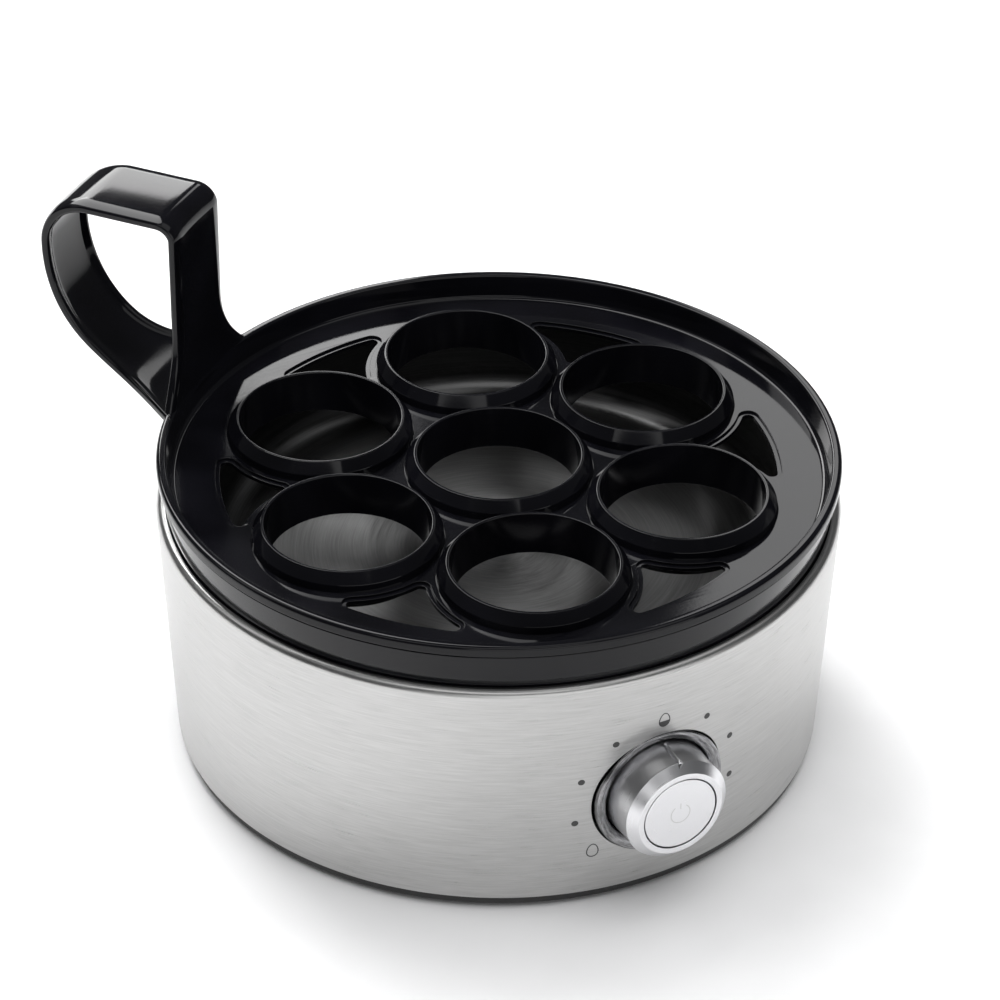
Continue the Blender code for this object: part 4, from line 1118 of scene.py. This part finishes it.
# %% The marks
dot_radius = 0.00085
egg_length, egg_width, egg_line = 0.0042, 0.0031, 0.00028
form = bmesh.new()
for degrees in (-102.4, -68.5, -34.5, 34.5, 68.5, 102.4):
    solid_patch(form, circle(mark_place(degrees), dot_radius, 28))
line_patch(form, egg(mark_place(-130.4), egg_length, egg_width), egg_line)
line_patch(form, egg(mark_place(0), egg_length, egg_width), egg_line)
half_egg = [point for point in egg(mark_place(0), egg_length, egg_width) if point.y < mark_place(0).y]
solid_patch(form, half_egg)
solid_patch(form, egg(mark_place(130.4), egg_length, egg_width))
marks = finish_mesh(form, "dial_marks", 30)
belongs(marks, ink, "base", "brushed_steel")

# %% [markdown]
# ## The cord gland
# The lead leaves through a small black gland in the back of the wall. It has a collar against the
# steel, a short tapered nose and an open bore.

# %% Cord gland
gland_radius = radius_of("cord_gland")
thread, bore = 0.0048, 0.0033
wall_back = wall_radius_at(gland_height)
gland = turned("gland_body", [
    (0.0042, gland_high.y, 0.0005), (thread, gland_high.y - 0.0012, 0.0006),
    (thread, wall_back + 0.0022, 0.0006), (gland_radius, wall_back + 0.0016, 0.0005),
    (gland_radius, wall_back + 0.0002, 0.0002), (thread, wall_back + 0.0002, 0.0001),
    (thread, gland_low.y, 0.0002), (bore, gland_low.y, 0.0002), (bore, gland_high.y, 0.0005),
], 72, gland_place)
belongs(gland, satin_black, "base", "satin_black", "cord_gland")

# %% [markdown]
# ## Floor and light
# The cooker stands on a plain pale floor that runs up behind it without a corner. Steel and glossy
# plastic show their surroundings more than their own colour, so the room itself is dark. The steel
# mirrors the floor and the soft boxes in front, and the boxes behind and above are placed where
# the tray and the handle need a highlight. Two wide lights only brighten the floor and soften the
# shadow, and leave no reflection.

# %% Floor and backdrop
paper = moulded("floor_paper", grey(0.86, 0.005), grey(0.88, 0.005), 0.75, 0.85, 0.00001, 400)
strip_half = 3.0


def paper_strip(name, profile):
    """A wide strip of paper that lies square to the view and follows (distance, height) points."""
    form = bmesh.new()
    rows = []
    for along, height in profile:
        row = []
        for side in (-strip_half, strip_half):
            row.append(form.verts.new(Matrix.Rotation(view_bearing, 4, "Z") @ Vector((side, along, height))))
        rows.append(row)
    for one, other in zip(rows, rows[1:]):
        form.faces.new((one[0], one[1], other[1], other[0]))
    strip = finish_mesh(form, name, 60)
    strip.data.materials.append(paper)
    return strip


table_start, table_end, bend, rise = -2.4, 1.0, 0.7, 1.6
paper_strip("floor", [(table_start, 0.0), (0.0, 0.0), (table_end, 0.0)])
curve = [(table_end + bend * math.sin(math.radians(a)), bend - bend * math.cos(math.radians(a)))
         for a in range(0, 91, 10)]
backdrop = paper_strip("backdrop", curve + [(table_end + bend, bend + rise)])
backdrop.visible_glossy = False
print("the paper is", round(table_end - table_start, 1), "m deep before it curves up")

# %% Light
def softbox(name, location, aim_at, width, height, radiance, mirrored):
    """A soft rectangular light. One that isn't mirrored lights the floor but leaves no reflection."""
    data = bpy.data.lights.new(name, "AREA")
    data.shape = "RECTANGLE"
    data.size = width
    data.size_y = height
    data.energy = radiance * math.pi * width * height
    light = bpy.data.objects.new(name, data)
    bpy.context.scene.collection.objects.link(light)
    light.location = location
    light.rotation_euler = (Vector(location) - Vector(aim_at)).to_track_quat("Z", "Y").to_euler()
    light.visible_glossy = mirrored
    return light


def seen_from_camera(right, ahead, up):
    """A place given as right of, beyond and above the cooker, as the camera sees it."""
    return Matrix.Rotation(view_bearing, 4, "Z") @ Vector((right, ahead, up))


# Each line: name, place, aimed at, width, height, radiance, mirrored.
body_middle = (0.0, 0.0, 0.05)
soft_boxes = [
    ("sky_light", (0.0, 0.1, 1.7), body_middle, 2.2, 2.2, 1.8, False),
    ("key_light", (-0.75, 0.75, 1.1), body_middle, 0.8, 0.8, 0.9, False),
    ("front_fill", (0.9, -1.8, 0.60), body_middle, 2.8, 1.1, 1.3, True),
    ("front_light", (-0.1, -1.0, 1.4), body_middle, 1.6, 0.5, 1.4, True),
    ("side_light", (-1.05, 0.1, 1.3), body_middle, 0.4, 1.2, 1.4, True),
    ("window_left", (-0.36, 1.02, 0.555), (-0.36, 0.0, 0.05), 0.62, 0.26, 6.4, True),
    ("window_right", (0.18, 1.00, 0.75), (0.18, 0.0, 0.10), 0.14, 0.36, 3.2, True),
    ("overhead_left", (-0.36, 0.587, 0.90), (-0.1, 0.127, 0.08), 0.46, 1.05, 6.2, True),
    ("overhead_right", (0.45, -0.10, 1.25), body_middle, 0.8, 0.9, 0.9, True),
]
for name, place, aimed_at, width, height, radiance, mirrored in soft_boxes:
    softbox(name, seen_from_camera(*place), seen_from_camera(*aimed_at), width, height, radiance, mirrored)

# %% The room
world = bpy.data.worlds.new("room")
bpy.context.scene.world = world
world.use_nodes = True
world.node_tree.nodes["Background"].inputs[0].default_value = (0.95, 0.97, 1.0, 1.0)
world.node_tree.nodes["Background"].inputs[1].default_value = 0.09
bpy.context.scene.view_settings.view_transform = "Standard"
print("lights ready")
